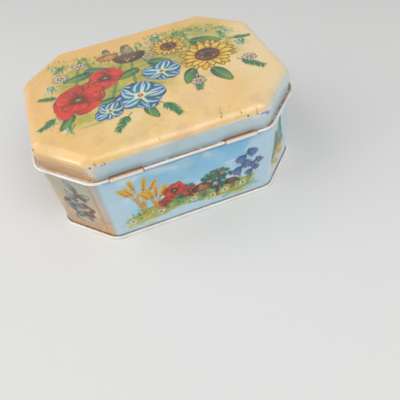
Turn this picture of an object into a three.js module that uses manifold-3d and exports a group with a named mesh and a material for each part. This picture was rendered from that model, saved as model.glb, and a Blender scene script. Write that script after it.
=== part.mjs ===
// Hinged eight-sided tin box: a seamed body, a base pan and a drawn lid that turns on two rolled knuckles.
// Millimetres, +Z up, X along the length, the hinge at +Y, the origin under the middle of the whole box.
import * as THREE from 'three';
import { mergeVertices } from 'three/addons/utils/BufferGeometryUtils.js';
import Module from 'manifold-3d';

const wasm = await Module();
wasm.setup();

// Tinplate, and the room between pieces that meet
const sheet = 0.3;
const seatGap = 0.3;
const hingeClearance = 0.2;
const overrun = 1;

// Walls, measured over their outside
const wallLength = 129.4;
const wallWidth = 98.4;
const cornerCut = 22;
const bendRadius = 8;

// Base pan, and its edge that is folded over the walls' flange
const rimReach = 1.6;
const panelRecess = 1.2;
const panelBend = 0.35;

// Lid: its depth above the middle of its curl, its round edge, and how far its skirt stands back
const lidDepth = 13;
const lidEdgeRadius = 5;
const skirtInset = 0.3;
const skirtBend = 0.45;

// Curl rolled outwards round the lid's lower edge: how far out its middle lies, and how high
const curlDiameter = 1.3;
const curlReach = 1.6;
const curlHeight = 42.7;

// Neck that stands inside the lid, with its edge rolled inwards
const neckHeight = 7.4;
const hemDiameter = 1.4;

// Two hinge tabs, cut from the neck and rolled round the lid's curl, and the lid's slots for them
const tabLength = 16.2;
const tabFromCorner = 6.4;
const slotEndGap = 0.5;
const slotRise = 1.15;

// Lock seam that closes the walls into a ring, folded to the inside of one end wall
const seamWidth = 3;
const seamFromBend = 5;
const seamGroove = 0.3;

// How far each roll runs round
const halfTurn = Math.PI;
const quarterTurn = halfTurn / 2;
const eighthTurn = halfTurn / 4;
const curlTurn = 1.45 * halfTurn;
const hemTurn = 1.5 * halfTurn;
const tabTurn = 1.35 * halfTurn;

// Steps of the round forms: each upright bend, and each half of an arc in a sheet's section
const uprightSteps = 4;
const wallArcSteps = 3;
const baseArcSteps = 3;
const lidArcSteps = 4;
const tabArcSteps = 6;

// What follows from the sizes above; in a section x is the distance outside the walls and y the height
const halfSheet = sheet / 2;
const halfLength = wallLength / 2;
const halfWidth = wallWidth / 2;
const rimHeight = 3 * sheet + 2 * seatGap;
const neckInset = skirtInset + sheet + seatGap;
const shoulderHeight = curlHeight - curlDiameter / 2 - seatGap;
const neckTop = shoulderHeight + neckHeight;
const flangeTop = curlHeight - curlDiameter / 2 + sheet;
const lidHeight = curlHeight + lidDepth;
const tabMiddleRadius = curlDiameter / 2 + hingeClearance + halfSheet;
const tabReach = curlReach + tabMiddleRadius + halfSheet;
const tabMiddleX = halfLength - cornerCut - tabFromCorner - tabLength / 2;
const hingeY = halfWidth + curlReach;
const backOverhang = Math.max(tabReach, rimReach) - Math.max(curlReach + curlDiameter / 2, rimReach);

const axisX = new THREE.Vector3(1, 0, 0);
const axisY = new THREE.Vector3(0, 1, 0);
const axisZ = new THREE.Vector3(0, 0, 1);

// Points along the middle of a sheet in its section: from the start through the arcs, with lines between
function sheetMiddle(start, arcs, halfArcSteps) {
  const path = new THREE.Path();
  path.moveTo(...start);
  for (const { centre: [x, y], radius, from, turn } of arcs) {
    path.lineTo(x + radius * Math.cos(from), y + radius * Math.sin(from));
    path.absarc(x, y, radius, from, from + turn, turn < 0);
  }
  const points = path.getPoints(halfArcSteps);
  return points.filter((point, i) => i === 0 || point.distanceTo(points[i - 1]) > halfSheet / 10);
}

// Both faces of a sheet whose middle runs along the points: the right one forward, the left one back
function sheetFaces(points) {
  const right = [];
  const left = [];
  points.forEach((point, i) => {
    const before = points[Math.max(i - 1, 0)];
    const after = points[Math.min(i + 1, points.length - 1)];
    const into = (i === 0 ? after.clone().sub(point) : point.clone().sub(before)).normalize();
    const onward = (after === point ? into.clone() : after.clone().sub(point)).normalize();
    const side = new THREE.Vector2(into.y + onward.y, -into.x - onward.x);
    side.multiplyScalar(halfSheet / (1 + into.dot(onward)));
    right.push(point.clone().add(side));
    left.unshift(point.clone().sub(side));
  });
  return [...right, ...left];
}

// The eight upright bends, counter-clockwise from the one beside the +X wall: arc centre and start angle
function uprightBends() {
  const a = halfLength;
  const b = halfWidth;
  const corners = [
    [a, b - cornerCut], [a - cornerCut, b], [cornerCut - a, b], [-a, b - cornerCut],
    [-a, cornerCut - b], [cornerCut - a, -b], [a - cornerCut, -b], [a, cornerCut - b],
  ];
  const inward = bendRadius / Math.cos(eighthTurn / 2);
  return corners.map(([x, y], i) => {
    const start = i * eighthTurn;
    const middle = start + eighthTurn / 2;
    const centre = new THREE.Vector2(x - inward * Math.cos(middle), y - inward * Math.sin(middle));
    return { centre, start };
  });
}

// A section carried once round the eight walls; a capped one starts at the middle and covers it
function carryRound(section, capped) {
  const bends = uprightBends();
  const stations = bends.length * (uprightSteps + 1);
  const count = section.length;
  const positions = [];
  for (const { centre, start } of bends) {
    for (let step = 0; step <= uprightSteps; step += 1) {
      const angle = start + (eighthTurn * step) / uprightSteps;
      for (const { x: out, y: height } of section) {
        const reach = bendRadius + out;
        positions.push(centre.x + reach * Math.cos(angle), centre.y + reach * Math.sin(angle), height);
      }
    }
  }
  const vertex = (station, j) => (station % stations) * count + (j % count);
  const index = [];
  for (let i = 0; i < stations; i += 1) {
    for (let j = 0; j < (capped ? count - 1 : count); j += 1) {
      index.push(vertex(i, j), vertex(i + 1, j), vertex(i + 1, j + 1));
      index.push(vertex(i, j), vertex(i + 1, j + 1), vertex(i, j + 1));
    }
  }
  if (capped) {
    const lower = stations * count;
    const upper = lower + 1;
    positions.push(0, 0, section[0].y, 0, 0, section[count - 1].y);
    for (let i = 0; i < stations; i += 1) {
      index.push(lower, vertex(i + 1, 0), vertex(i, 0));
      index.push(upper, vertex(i, count - 1), vertex(i + 1, count - 1));
    }
  }
  const geometry = new THREE.BufferGeometry();
  geometry.setAttribute('position', new THREE.Float32BufferAttribute(positions, 3));
  geometry.setIndex(index);
  return solidOf(geometry);
}

// A prism over an outline, centred on its length, turned so that the outline lies in the two given axes
function prism(outline, length, acrossAxis, upAxis, alongAxis) {
  const extruded = new THREE.ExtrudeGeometry(new THREE.Shape(outline), { depth: length, bevelEnabled: false });
  extruded.translate(0, 0, -length / 2);
  extruded.applyMatrix4(new THREE.Matrix4().makeBasis(acrossAxis, upAxis, alongAxis));
  extruded.deleteAttribute('normal');
  extruded.deleteAttribute('uv');
  return mergeVertices(extruded);
}

// A prism along the hinge over an outline in the section of the back wall, at one of the two tabs
function prismAtTab(outline, length, side) {
  const geometry = prism(outline, length, axisY, axisZ, axisX);
  geometry.translate(side * tabMiddleX, halfWidth, 0);
  return solidOf(geometry);
}

function corners(points) {
  return points.map(([x, y]) => new THREE.Vector2(x, y));
}

function solidOf(geometry) {
  return new wasm.Manifold(new wasm.Mesh({
    numProp: 3,
    vertProperties: new Float32Array(geometry.attributes.position.array),
    triVerts: new Uint32Array(geometry.index.array),
  }));
}

function geometryOf(solid) {
  const mesh = solid.getMesh();
  const geometry = new THREE.BufferGeometry();
  geometry.setAttribute('position', new THREE.Float32BufferAttribute(mesh.vertProperties, 3));
  geometry.setIndex(new THREE.Uint32BufferAttribute(mesh.triVerts, 1));
  geometry.computeVertexNormals();
  return geometry;
}

// Walls: a flange for the base seam, the upright band, the shoulder, the neck and its hem, in one sheet
function wallSection() {
  const flangeEnd = rimReach - sheet - seatGap;
  const flangeMiddle = rimHeight / 2;
  const flangeBend = halfSheet + seatGap;
  const shoulderBend = neckInset / 2;
  const hemRadius = hemDiameter / 2 - halfSheet;
  const hemMiddle = neckTop - hemDiameter / 2;
  const shoulderOut = -halfSheet - shoulderBend;
  const shoulderMiddle = shoulderHeight - halfSheet;
  return sheetFaces(sheetMiddle([flangeEnd, flangeMiddle], [
    { centre: [flangeBend - halfSheet, flangeMiddle + flangeBend], radius: flangeBend,
      from: -quarterTurn, turn: -quarterTurn },
    { centre: [shoulderOut, shoulderMiddle - shoulderBend], radius: shoulderBend, from: 0, turn: quarterTurn },
    { centre: [shoulderOut, shoulderMiddle + shoulderBend], radius: shoulderBend,
      from: -quarterTurn, turn: -quarterTurn },
    { centre: [-neckInset - halfSheet - hemRadius, hemMiddle], radius: hemRadius, from: 0, turn: hemTurn },
  ], wallArcSteps));
}

// One hinge tab: out from the shoulder, under the lid's curl and round it
function tabOutline() {
  return sheetFaces(sheetMiddle([-neckInset, curlHeight - tabMiddleRadius], [
    { centre: [curlReach, curlHeight], radius: tabMiddleRadius, from: -quarterTurn, turn: tabTurn },
  ], tabArcSteps));
}

// What cutting a tab out of the neck leaves open, from the shoulder up through the hem
function neckNotchOutline() {
  const innerSide = -neckInset - hemDiameter - sheet - overrun;
  return corners([
    [innerSide, shoulderHeight], [-halfSheet, shoulderHeight],
    [-halfSheet, neckTop + overrun], [innerSide, neckTop + overrun],
  ]);
}

// Lock seam: the folded strip inside the wall and the line that it leaves outside
function lockSeam() {
  const bottom = rimHeight + seatGap + sheet;
  const top = shoulderHeight - neckInset - sheet;
  const seamY = cornerCut + seamFromBend - halfWidth;
  const fold = prism(corners([
    [-halfLength + halfSheet, -seamWidth / 2], [-halfLength + 2 * sheet, -seamWidth / 2],
    [-halfLength + 3 * sheet, -seamWidth / 2 + sheet], [-halfLength + 3 * sheet, seamWidth / 2 - sheet],
    [-halfLength + 2 * sheet, seamWidth / 2], [-halfLength + halfSheet, seamWidth / 2],
  ]), top - bottom, axisX, axisY, axisZ);
  const groove = prism(corners([
    [-halfLength - overrun, -seamGroove / 2], [-halfLength, -seamGroove / 2],
    [-halfLength + seamGroove / 2, 0], [-halfLength, seamGroove / 2], [-halfLength - overrun, seamGroove / 2],
  ]), top - bottom, axisX, axisY, axisZ);
  fold.translate(0, seamY, (top + bottom) / 2);
  groove.translate(0, seamY + seamWidth / 2, (top + bottom) / 2);
  return { fold: solidOf(fold), groove: solidOf(groove) };
}

function bodyWallSolid() {
  const { fold, groove } = lockSeam();
  let walls = carryRound(wallSection(), false).add(fold).subtract(groove);
  for (const side of [-1, 1]) {
    walls = walls.subtract(prismAtTab(neckNotchOutline(), tabLength, side));
    walls = walls.add(prismAtTab(tabOutline(), tabLength, side));
  }
  return walls;
}

// Base pan: a panel set up inside the walls, then down, out under their flange and back over it
function basePanSolid() {
  const inside = -sheet - seatGap - halfSheet;
  const panelMiddle = panelRecess + halfSheet;
  const hookRadius = rimHeight / 2 - halfSheet;
  const hookCentre = rimReach - halfSheet - hookRadius;
  const middle = sheetMiddle([inside - bendRadius / 2, panelMiddle], [
    { centre: [inside - panelBend, panelMiddle - panelBend], radius: panelBend,
      from: quarterTurn, turn: -quarterTurn },
    { centre: [inside + panelBend, halfSheet + panelBend], radius: panelBend,
      from: -halfTurn, turn: quarterTurn },
    { centre: [hookCentre, rimHeight / 2], radius: hookRadius, from: -quarterTurn, turn: halfTurn },
  ], baseArcSteps);
  middle.push(new THREE.Vector2(seatGap, rimHeight - halfSheet));
  return carryRound(sheetFaces(middle), true);
}

// Lid: top, round edge, skirt, a narrow flange out and the curl, in one drawn sheet
function lidSection() {
  const skirt = -skirtInset - halfSheet;
  const edge = lidEdgeRadius - halfSheet;
  const roll = curlDiameter / 2 - halfSheet;
  const flangeMiddle = flangeTop - halfSheet;
  return sheetFaces(sheetMiddle([skirt - lidEdgeRadius, lidHeight - halfSheet], [
    { centre: [skirt - edge, lidHeight - lidEdgeRadius], radius: edge, from: quarterTurn, turn: -quarterTurn },
    { centre: [skirt + skirtBend, flangeMiddle + skirtBend], radius: skirtBend,
      from: -halfTurn, turn: quarterTurn },
    { centre: [curlReach, curlHeight], radius: roll, from: -quarterTurn, turn: curlTurn },
  ], lidArcSteps));
}

// A slot through the flange and the foot of the skirt, which leaves the curl whole for the tab to grip
function lidSlotOutline() {
  const innerSide = -skirtInset - sheet - overrun;
  const under = flangeTop - sheet - overrun;
  return corners([
    [innerSide, under], [curlReach, under], [curlReach, flangeTop],
    [curlReach - curlDiameter / 2 - seatGap, flangeTop],
    [curlReach - curlDiameter / 2 - seatGap, flangeTop + slotRise], [innerSide, flangeTop + slotRise],
  ]);
}

function lidSolid() {
  let lid = carryRound(lidSection(), true);
  for (const side of [-1, 1]) {
    lid = lid.subtract(prismAtTab(lidSlotOutline(), tabLength + 2 * slotEndGap, side));
  }
  return lid;
}

function piece(name, solid, color, roughness, metalness) {
  const material = new THREE.MeshStandardMaterial({ color, roughness, metalness });
  const mesh = new THREE.Mesh(geometryOf(solid), material);
  mesh.name = name;
  return mesh;
}

const bodyWall = piece('body_wall', bodyWallSolid(), 0x8fc3d8, 0.35, 0.1);
const basePan = piece('base_pan', basePanSolid(), 0xeae4dc, 0.35, 0.1);
const lid = piece('lid', lidSolid(), 0xeecd96, 0.3, 0.1);

// The lid hangs from the middle of its own curl at the back
const hinge = new THREE.Group();
hinge.position.set(0, hingeY, curlHeight);
lid.position.set(0, -hingeY, -curlHeight);
hinge.add(lid);

const tinBox = new THREE.Group();
tinBox.position.y = -backOverhang / 2;
tinBox.add(bodyWall, basePan, hinge);

export default tinBox;
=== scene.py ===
import math

import bpy
import numpy as np
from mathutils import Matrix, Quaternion, Vector
from mathutils.geometry import delaunay_2d_cdt


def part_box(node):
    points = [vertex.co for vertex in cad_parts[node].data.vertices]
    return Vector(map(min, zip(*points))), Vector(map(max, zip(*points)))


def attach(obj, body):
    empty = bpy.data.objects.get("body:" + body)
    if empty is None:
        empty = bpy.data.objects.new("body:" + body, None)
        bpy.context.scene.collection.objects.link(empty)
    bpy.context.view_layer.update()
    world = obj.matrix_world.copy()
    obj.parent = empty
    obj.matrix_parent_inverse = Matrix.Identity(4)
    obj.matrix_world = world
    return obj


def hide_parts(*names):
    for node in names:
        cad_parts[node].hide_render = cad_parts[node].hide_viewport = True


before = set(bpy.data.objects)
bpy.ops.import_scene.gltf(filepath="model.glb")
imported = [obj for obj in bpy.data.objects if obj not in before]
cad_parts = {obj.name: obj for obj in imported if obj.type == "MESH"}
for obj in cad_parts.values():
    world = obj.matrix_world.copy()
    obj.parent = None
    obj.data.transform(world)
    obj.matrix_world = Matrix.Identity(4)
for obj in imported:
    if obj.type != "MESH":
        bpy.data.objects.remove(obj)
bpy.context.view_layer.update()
print("stage: frame loaded")

# Sizes are in millimetres until a mesh is made, which turns them into metres.
mm = 0.001
fullTurn = 2 * math.pi
halfTurn = math.pi
quarterTurn = math.pi / 2
eighthTurn = math.pi / 4

tin = {
    "sheet": 0.3,
    "gap": 0.3,            # between pieces that meet
    "bendRadius": 8.0,     # of the eight upright bends
    "bendSteps": 10,
    "cornerCut": 22.0,
    "rimReach": 1.6,       # how far the folded rim stands out from the walls
    "printStep": 0.58,     # length of a printed face, fine enough for the ink lines
    "innerStep": 4.0,      # length of a face on the plain inside
    "panelStep": 2.5,      # the same on the flat panels
    "sharpAbove": 40.0,    # degrees between faces where the shading breaks
}
hinge = {
    "curl": 1.3,           # how thick the lid's rolled edge is
    "curlTurn": 1.45,      # in half turns
    "reach": 1.6,          # its middle, out from the walls
    "tabLength": 16.2,
    "tabMiddle": 27.5,     # from the middle of the back wall
    "tabTurn": 1.35,       # in half turns
    "clearance": 0.2,
}


def boxOf(node):
    low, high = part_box(node)
    return Vector(low) / mm, Vector(high) / mm


panLow, panHigh = boxOf("base_pan")
lidLow, lidHigh = boxOf("lid")
middleY = (panHigh.y + panLow.y) / 2
halfLength = panHigh.x - tin["rimReach"]
halfWidth = (panHigh.y - panLow.y) / 2 - tin["rimReach"]
halfSlant = (halfLength + halfWidth - tin["cornerCut"]) / math.sqrt(2)
halfSheet = tin["sheet"] / 2
hair = halfSheet / 10     # what is shorter than this is left out
nudge = 1e-6              # so that a row that stands on a mark counts on one side of it only
rimHeight, lidHeight = panHigh.z, lidHigh.z
curlHeight = lidLow.z + hinge["curl"] / 2
shoulderHeight = curlHeight - hinge["curl"] / 2 - tin["gap"]
tabRadius = hinge["curl"] / 2 + hinge["clearance"] + halfSheet
tabPlaces = (-hinge["tabMiddle"], hinge["tabMiddle"])

# The flats between the bends, counter-clockwise from above, with left and right as seen from behind
sides = {"backLeftCorner": 0, "back": 1, "backRightCorner": 2, "rightEnd": 3,
         "frontRightCorner": 4, "front": 5, "frontLeftCorner": 6, "leftEnd": 7}


def smooth(low, high, value):
    t = np.clip((value - low) / (high - low), 0, 1)
    return t * t * (3 - 2 * t)


def mottle(u, v, size, seed):
    # patches from 0 to 1 of the given size, with two finer layers on them; the shifts keep places above zero
    grid, total, weight, whole = 61, np.zeros(len(u)), 1.0, 0.0
    for layer in range(3):
        cells = np.random.default_rng(seed * 17 + layer).random((grid, grid))
        x, y = u / size * 2 ** layer + 300.3, v / size * 2 ** layer + 200.7
        i, j = np.floor(x).astype(int), np.floor(y).astype(int)
        fx, fy = smooth(0, 1, x - i), smooth(0, 1, y - j)
        i, j, i2, j2 = i % grid, j % grid, (i + 1) % grid, (j + 1) % grid
        low = cells[i, j] * (1 - fx) + cells[i2, j] * fx
        high = cells[i, j2] * (1 - fx) + cells[i2, j2] * fx
        total += weight * (low * (1 - fy) + high * fy)
        whole += weight
        weight *= 0.55
    return total / whole


# Stations round the eight walls


def bendCentres():
    a, b, cut = halfLength, halfWidth, tin["cornerCut"]
    corners = [(a, b - cut), (a - cut, b), (cut - a, b), (-a, b - cut),
               (-a, cut - b), (cut - a, -b), (a - cut, -b), (a, cut - b)]
    inward = tin["bendRadius"] / math.cos(eighthTurn / 2)
    turns = ((np.arange(8) + 0.5) * eighthTurn)[:, None]
    return np.array(corners) - inward * np.c_[np.cos(turns), np.sin(turns)]


def walkRound(step, bendSteps, breaks):
    # each row: centre x, centre y, angle, distance walked, side, place along the side from its middle
    # breaks: places along a side, by its number, where a row has to stand
    centres = bendCentres()
    rows, middles, walked = [], [], 0.0
    for i in range(8):
        here, there = centres[i], centres[(i + 1) % 8]
        for j in range(bendSteps):
            turn = eighthTurn * j / bendSteps
            rows.append((*here, i * eighthTurn + turn, walked + tin["bendRadius"] * turn, -1, 0))
        walked += tin["bendRadius"] * eighthTurn
        run = np.linalg.norm(there - here)
        marks = [0.0] + sorted(run / 2 + b for b in breaks.get(i, [])) + [run]
        for low, high in zip(marks, marks[1:]):
            count = max(1, round((high - low) / step))
            for j in range(count):
                t = low + (high - low) * j / count
                place = here + (there - here) * t / run
                rows.append((*place, (i + 1) * eighthTurn, walked + t, i, t - run / 2))
        middles.append(walked + run / 2)
        walked += run
    return np.array(rows), middles, walked


def atTabs(stations, half):
    fromTab = np.abs(np.abs(stations[:, 5] + nudge) - hinge["tabMiddle"])
    return (stations[:, 4] == sides["back"]) & (fromTab < half)


def tabEnds(half):
    return [place + end for place in tabPlaces for end in (-half, half)]


def placeAt(stations, out, height):
    reach = tin["bendRadius"] + np.asarray(out)
    x = stations[:, 0, None] + reach * np.cos(stations[:, 2, None])
    y = stations[:, 1, None] + reach * np.sin(stations[:, 2, None]) + middleY
    return np.stack([x, y, np.broadcast_to(height, x.shape)], axis=-1)


# A bent sheet in its section: the line along its middle, then its two faces


def arc(x, z, radius, begin, turn, steps, lead=None, coarse=False, keepEvery=1):
    return {"centre": (x, z), "radius": radius, "begin": begin, "turn": turn,
            "steps": steps, "lead": lead, "coarse": coarse, "keepEvery": keepEvery}


def lineTo(x, z, lead=None, coarse=False):
    return {"to": (x, z), "lead": lead, "coarse": coarse}


def sheetMiddle(start, route):
    # gives the points, which of them the other face keeps, and where each arc or point of the route begins
    points, kept, marks = [np.array(start, float)], [True], []
    for leg in route:
        if "to" in leg:
            goal = np.array(leg["to"], float)
        else:
            angles = leg["begin"] + leg["turn"] * np.linspace(0, 1, leg["steps"] + 1)
            curve = np.array(leg["centre"]) + leg["radius"] * np.c_[np.cos(angles), np.sin(angles)]
            goal = curve[0]
        run = np.linalg.norm(goal - points[-1])
        count = max(1, round(run / leg["lead"])) if leg["lead"] else 1
        skip = max(1, round(tin["innerStep"] / (run / count))) if leg["coarse"] and run else 1
        if run > hair:
            first = points[-1]
            for j in range(1, count + 1):
                points.append(first + (goal - first) * j / count)
                kept.append(j == count or j % skip == 0)
        marks.append(len(points) - 1)
        if "to" not in leg:
            for j, point in enumerate(curve[1:], 1):
                points.append(point)
                kept.append(j == leg["steps"] or j % leg["keepEvery"] == 0)
    return np.array(points), np.array(kept), marks


def sheetFaces(middle):
    run = np.diff(middle, axis=0)
    run /= np.linalg.norm(run, axis=1)[:, None]
    into, onward = np.vstack([run[:1], run]), np.vstack([run, run[-1:]])
    side = np.c_[into[:, 1] + onward[:, 1], -(into[:, 0] + onward[:, 0])]
    side *= (halfSheet / (1 + (into * onward).sum(axis=1)))[:, None]
    return middle + side, middle - side


def sectionRun(middle):
    return np.r_[0, np.cumsum(np.linalg.norm(np.diff(middle, axis=0), axis=1))]


class SheetMesh:
    # one bent sheet. Each point also has its place on the print (two numbers), the distance walked,
    # the way along the section, and whether it is on the printed face

    def __init__(self):
        self.points, self.info, self.faces, self.kinds, self.count = [], [], [], [], 0

    def addPoints(self, points, info):
        first = self.count
        self.points.append(points.reshape(-1, 3))
        self.info.append(info.reshape(-1, 5))
        self.count += len(self.points[-1])
        return first

    def addFaces(self, faces, kind):
        self.faces.extend(faces)
        self.kinds.extend([kind] * len(faces))

    def sweep(self, stations, middle, kept, fine, ringed=True, capped=False, cut=None, runFrom=0.0,
              paintedFrom=None):
        # fine: the face that has every row; the other has the kept ones, and paint from paintedFrom on
        # cut: half the length of a cut at each hinge tab, and its first and last row
        every = np.arange(len(middle))
        rows = {side: every if side == fine else every[kept] for side in ("right", "left")}
        profile = dict(zip(("right", "left"), sheetFaces(middle)))
        along = sectionRun(middle)
        count = len(stations)
        cells = count if ringed else count - 1
        present = np.ones((cells, len(middle) - 1), bool)
        if cut:
            half, first, last = cut
            present[:, first:last] &= ~atTabs(stations, half)[:cells, None]
        base, lookup = {}, {}
        for side in ("right", "left"):
            section, run = profile[side][rows[side]], along[rows[side]]
            flat = placeAt(stations, middle[0, 0] + run, 0)
            rest = (stations[:, 3, None], run + runFrom, float(side == fine))
            info = np.stack([flat[..., 0], flat[..., 1] - middleY,
                             *(np.broadcast_to(a, flat.shape[:2]) for a in rest)], axis=-1)
            base[side] = self.addPoints(placeAt(stations, section[:, 0], section[:, 1]), info)
            lookup[side] = {k: n for n, k in enumerate(rows[side])}

        def vertex(side, i, k):
            return base[side] + (i % count) * len(rows[side]) + lookup[side][k]

        def strip(i, k):
            # across the thickness of the sheet
            corners = (("right", k), ("right", k + 1), ("left", k + 1), ("left", k))
            return [vertex(side, i, n) for side, n in corners]

        for side in ("right", "left"):
            section = rows[side]
            width = len(section)
            for n in range(width - 1):
                i = np.nonzero(present[:, section[n]:section[n + 1]].all(axis=1))[0]
                a = base[side] + i * width + n
                b = base[side] + ((i + 1) % count) * width + n
                quads = np.c_[a, b, b + 1, a + 1] if side == "right" else np.c_[a, a + 1, b + 1, b]
                painted = side == fine or (paintedFrom is not None and section[n] >= paintedFrom)
                self.addFaces(quads.tolist(), "painted" if painted else "plain")
        before = np.roll(present, 1, axis=0)
        if not ringed:
            before[0] = False
        border = [strip(i, k) for i, k in np.argwhere(present & ~before)]
        ends = np.argwhere(~present & before).tolist()
        if not ringed:
            ends += [(count - 1, k) for k in np.nonzero(present[-1])[0]]
        for i, k in ends:
            border.append(strip(i, k)[::-1])
        padded = np.pad(present, ((0, 0), (1, 1)))
        if capped:
            padded[:, 0] = padded[:, 1]
        for i, k in np.argwhere(padded[:, 1:] != padded[:, :-1]):
            ring = (("right", i), ("left", i), ("left", i + 1), ("right", i + 1))
            edge = [vertex(side, n, k) for side, n in ring]
            border.append(edge if padded[i, k + 1] else edge[::-1])
        self.addFaces(border, "edge")
        return {side: [vertex(side, i, 0) for i in range(count)] for side in ("right", "left")}

    def fill(self, ring, step, kind, upward):
        # a flat field inside a ring of points: square faces, and triangles where they meet the ring
        outline = np.vstack(self.points)[ring]
        low, high = outline[:, :2].min(axis=0), outline[:, :2].max(axis=0)
        shape = np.ceil((high - low) / step).astype(int) + 1
        origin = low + ((high - low) - (shape - 1) * step) / 2
        x, y = np.meshgrid(*(origin[n] + np.arange(shape[n]) * step for n in (0, 1)), indexing="ij")
        inside = insideBy(x, y - middleY, outline) > 0.6 * step + tin["sheet"]
        cell = inside[:-1, :-1] & inside[1:, :-1] & inside[:-1, 1:] & inside[1:, 1:]
        padded = np.pad(cell, 1)
        touching = [padded[:-1, :-1], padded[1:, :-1], padded[:-1, 1:], padded[1:, 1:]]
        used, buried = np.logical_or.reduce(touching), np.logical_and.reduce(touching)
        spots = np.c_[x[used], y[used]]
        ones = np.ones(len(spots))
        info = np.c_[spots - (0, middleY), -ones, -ones, ones]
        first = self.addPoints(np.c_[spots, ones * outline[0, 2]], info)
        number = np.full(inside.shape, -1)
        number[used] = np.arange(len(spots)) + first
        a, b, c, d = (n[cell] for n in (number[:-1, :-1], number[1:, :-1], number[1:, 1:], number[:-1, 1:]))
        self.addFaces((np.c_[a, b, c, d] if upward else np.c_[a, d, c, b]).tolist(), kind)
        around = used & ~buried
        names = list(ring) + number[around].tolist()
        spot = {n: i for i, n in enumerate(names)}
        edges = [(i, (i + 1) % len(ring)) for i in range(len(ring))]
        for p, q, beside in ((number[:-1], number[1:], padded[1:-1, :-1] ^ padded[1:-1, 1:]),
                             (number[:, :-1], number[:, 1:], padded[:-1, 1:-1] ^ padded[1:, 1:-1])):
            edges += [(spot[m], spot[n]) for m, n in zip(p[beside], q[beside])]
        band = [Vector(p) for p in np.vstack([outline[:, :2], np.c_[x[around], y[around]]])]
        points, _, faces, source, _, _ = delaunay_2d_cdt(band, edges, [], 0, 1e-6)
        flat = np.array([tuple(p) for p in points])
        for face in faces:
            centre = flat[list(face)].mean(axis=0)
            column, row = ((centre - origin) // step).astype(int)
            covered = 0 <= column < cell.shape[0] and 0 <= row < cell.shape[1] and cell[column, row]
            if not covered and insideBy(centre[:1], centre[1:] - middleY, outline)[0] > hair:
                corners = [names[source[n][0]] for n in face]
                self.addFaces([corners if upward else corners[::-1]], kind)

    def finish(self):
        # drops what no face uses, and gives the points and the five numbers of each
        points, info = np.vstack(self.points), np.vstack(self.info)
        used = np.zeros(len(points), bool)
        used[np.concatenate([np.array(f) for f in self.faces])] = True
        number = np.cumsum(used) - 1
        self.faces = [number[f].tolist() for f in self.faces]
        return points[used], info[used].T

    def build(self, name, points, node, outside, **colours):
        low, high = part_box(node)
        mesh = bpy.data.meshes.new(name)
        mesh.from_pydata(np.clip(points * mm, np.array(low), np.array(high)).tolist(), [], self.faces)
        for material in (outside, plainInside, outside):
            mesh.materials.append(material)
        slots = {"painted": 0, "plain": 1, "edge": 2}
        mesh.polygons.foreach_set("material_index", [slots[kind] for kind in self.kinds])
        mesh.polygons.foreach_set("use_smooth", [True] * len(mesh.polygons))
        for attribute, values in colours.items():
            layer = mesh.color_attributes.new(attribute, "FLOAT_COLOR", "POINT")
            layer.data.foreach_set("color", np.c_[values, np.ones(len(values))].ravel())
        mesh.set_sharp_from_angle(angle=math.radians(tin["sharpAbove"]))
        mesh.calc_loop_triangles()
        print("stage:", name, len(mesh.vertices), "points,", len(mesh.loop_triangles), "triangles")
        return addObject(name, mesh)


def insideBy(x, y, outline):
    # how far inside the eight straight sides through the outline a place is
    a, b = outline[:, 0].max(), outline[:, 1].max() - middleY
    slant = halfSlant - (halfLength - a) - (np.abs(x) + np.abs(y)) / math.sqrt(2)
    return np.minimum(np.minimum(a - np.abs(x), b - np.abs(y)), slant)


# Camera: its place and aim were fitted to the photograph's edges of the lid, walls and rim

camera = {
    "place": (26.33, 186.28, 172.89),
    "aim": (-0.06, 66.03, 28.18),
    "roll": -9.55,        # degrees
    "lens": 37.57,
    "sensor": 36.0,
    "sees": (10.0, 10000.0),
}


def addObject(name, data):
    made = bpy.data.objects.new(name, data)
    bpy.context.scene.collection.objects.link(made)
    return made


def aim(thing, place, target, roll=0.0):
    look = (Vector(target) - Vector(place)).normalized()
    thing.location = Vector(place) * mm
    thing.rotation_mode = "QUATERNION"
    thing.rotation_quaternion = look.to_track_quat("-Z", "Y") @ Quaternion((0, 0, 1), math.radians(roll))


def makeCamera():
    data = bpy.data.cameras.new("camera")
    data.lens, data.sensor_width = camera["lens"], camera["sensor"]
    data.clip_start, data.clip_end = (way * mm for way in camera["sees"])
    eye = addObject("camera", data)
    aim(eye, camera["place"], camera["aim"], camera["roll"])
    bpy.context.scene.camera = eye


makeCamera()

# Nodes


class NodeWork:
    # a node tree and a few short ways to add to it

    def __init__(self, tree):
        self.tree = tree

    def add(self, kind, **settings):
        node = self.tree.nodes.new(kind)
        for key, value in settings.items():
            setattr(node, key, value)
        return node

    def join(self, value, socket):
        if hasattr(value, "links"):
            self.tree.links.new(value, socket)
        elif isinstance(value, tuple) and len(value) == 3 and len(socket.default_value) == 4:
            socket.default_value = (*value, 1)
        else:
            socket.default_value = value

    def calc(self, kind, a, b):
        node = self.add("ShaderNodeMath", operation=kind)
        self.join(a, node.inputs[0])
        self.join(b, node.inputs[1])
        return node.outputs[0]

    def plus(self, a, b):
        return self.calc("ADD", a, b)

    def times(self, a, b):
        return self.calc("MULTIPLY", a, b)

    def ramp(self, value, low, high, toLow=0.0, toHigh=1.0, kind="SMOOTHSTEP"):
        node = self.add("ShaderNodeMapRange", interpolation_type=kind)
        for socket, given in zip(node.inputs, (value, low, high, toLow, toHigh)):
            self.join(given, socket)
        return node.outputs[0]

    def seen(self):
        # 1 for what the camera sees, straight or in something that shines
        path = self.add("ShaderNodeLightPath").outputs
        seen = self.calc("MAXIMUM", path["Is Camera Ray"], path["Is Glossy Ray"])
        return self.calc("MAXIMUM", seen, path["Is Transmission Ray"])


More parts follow.
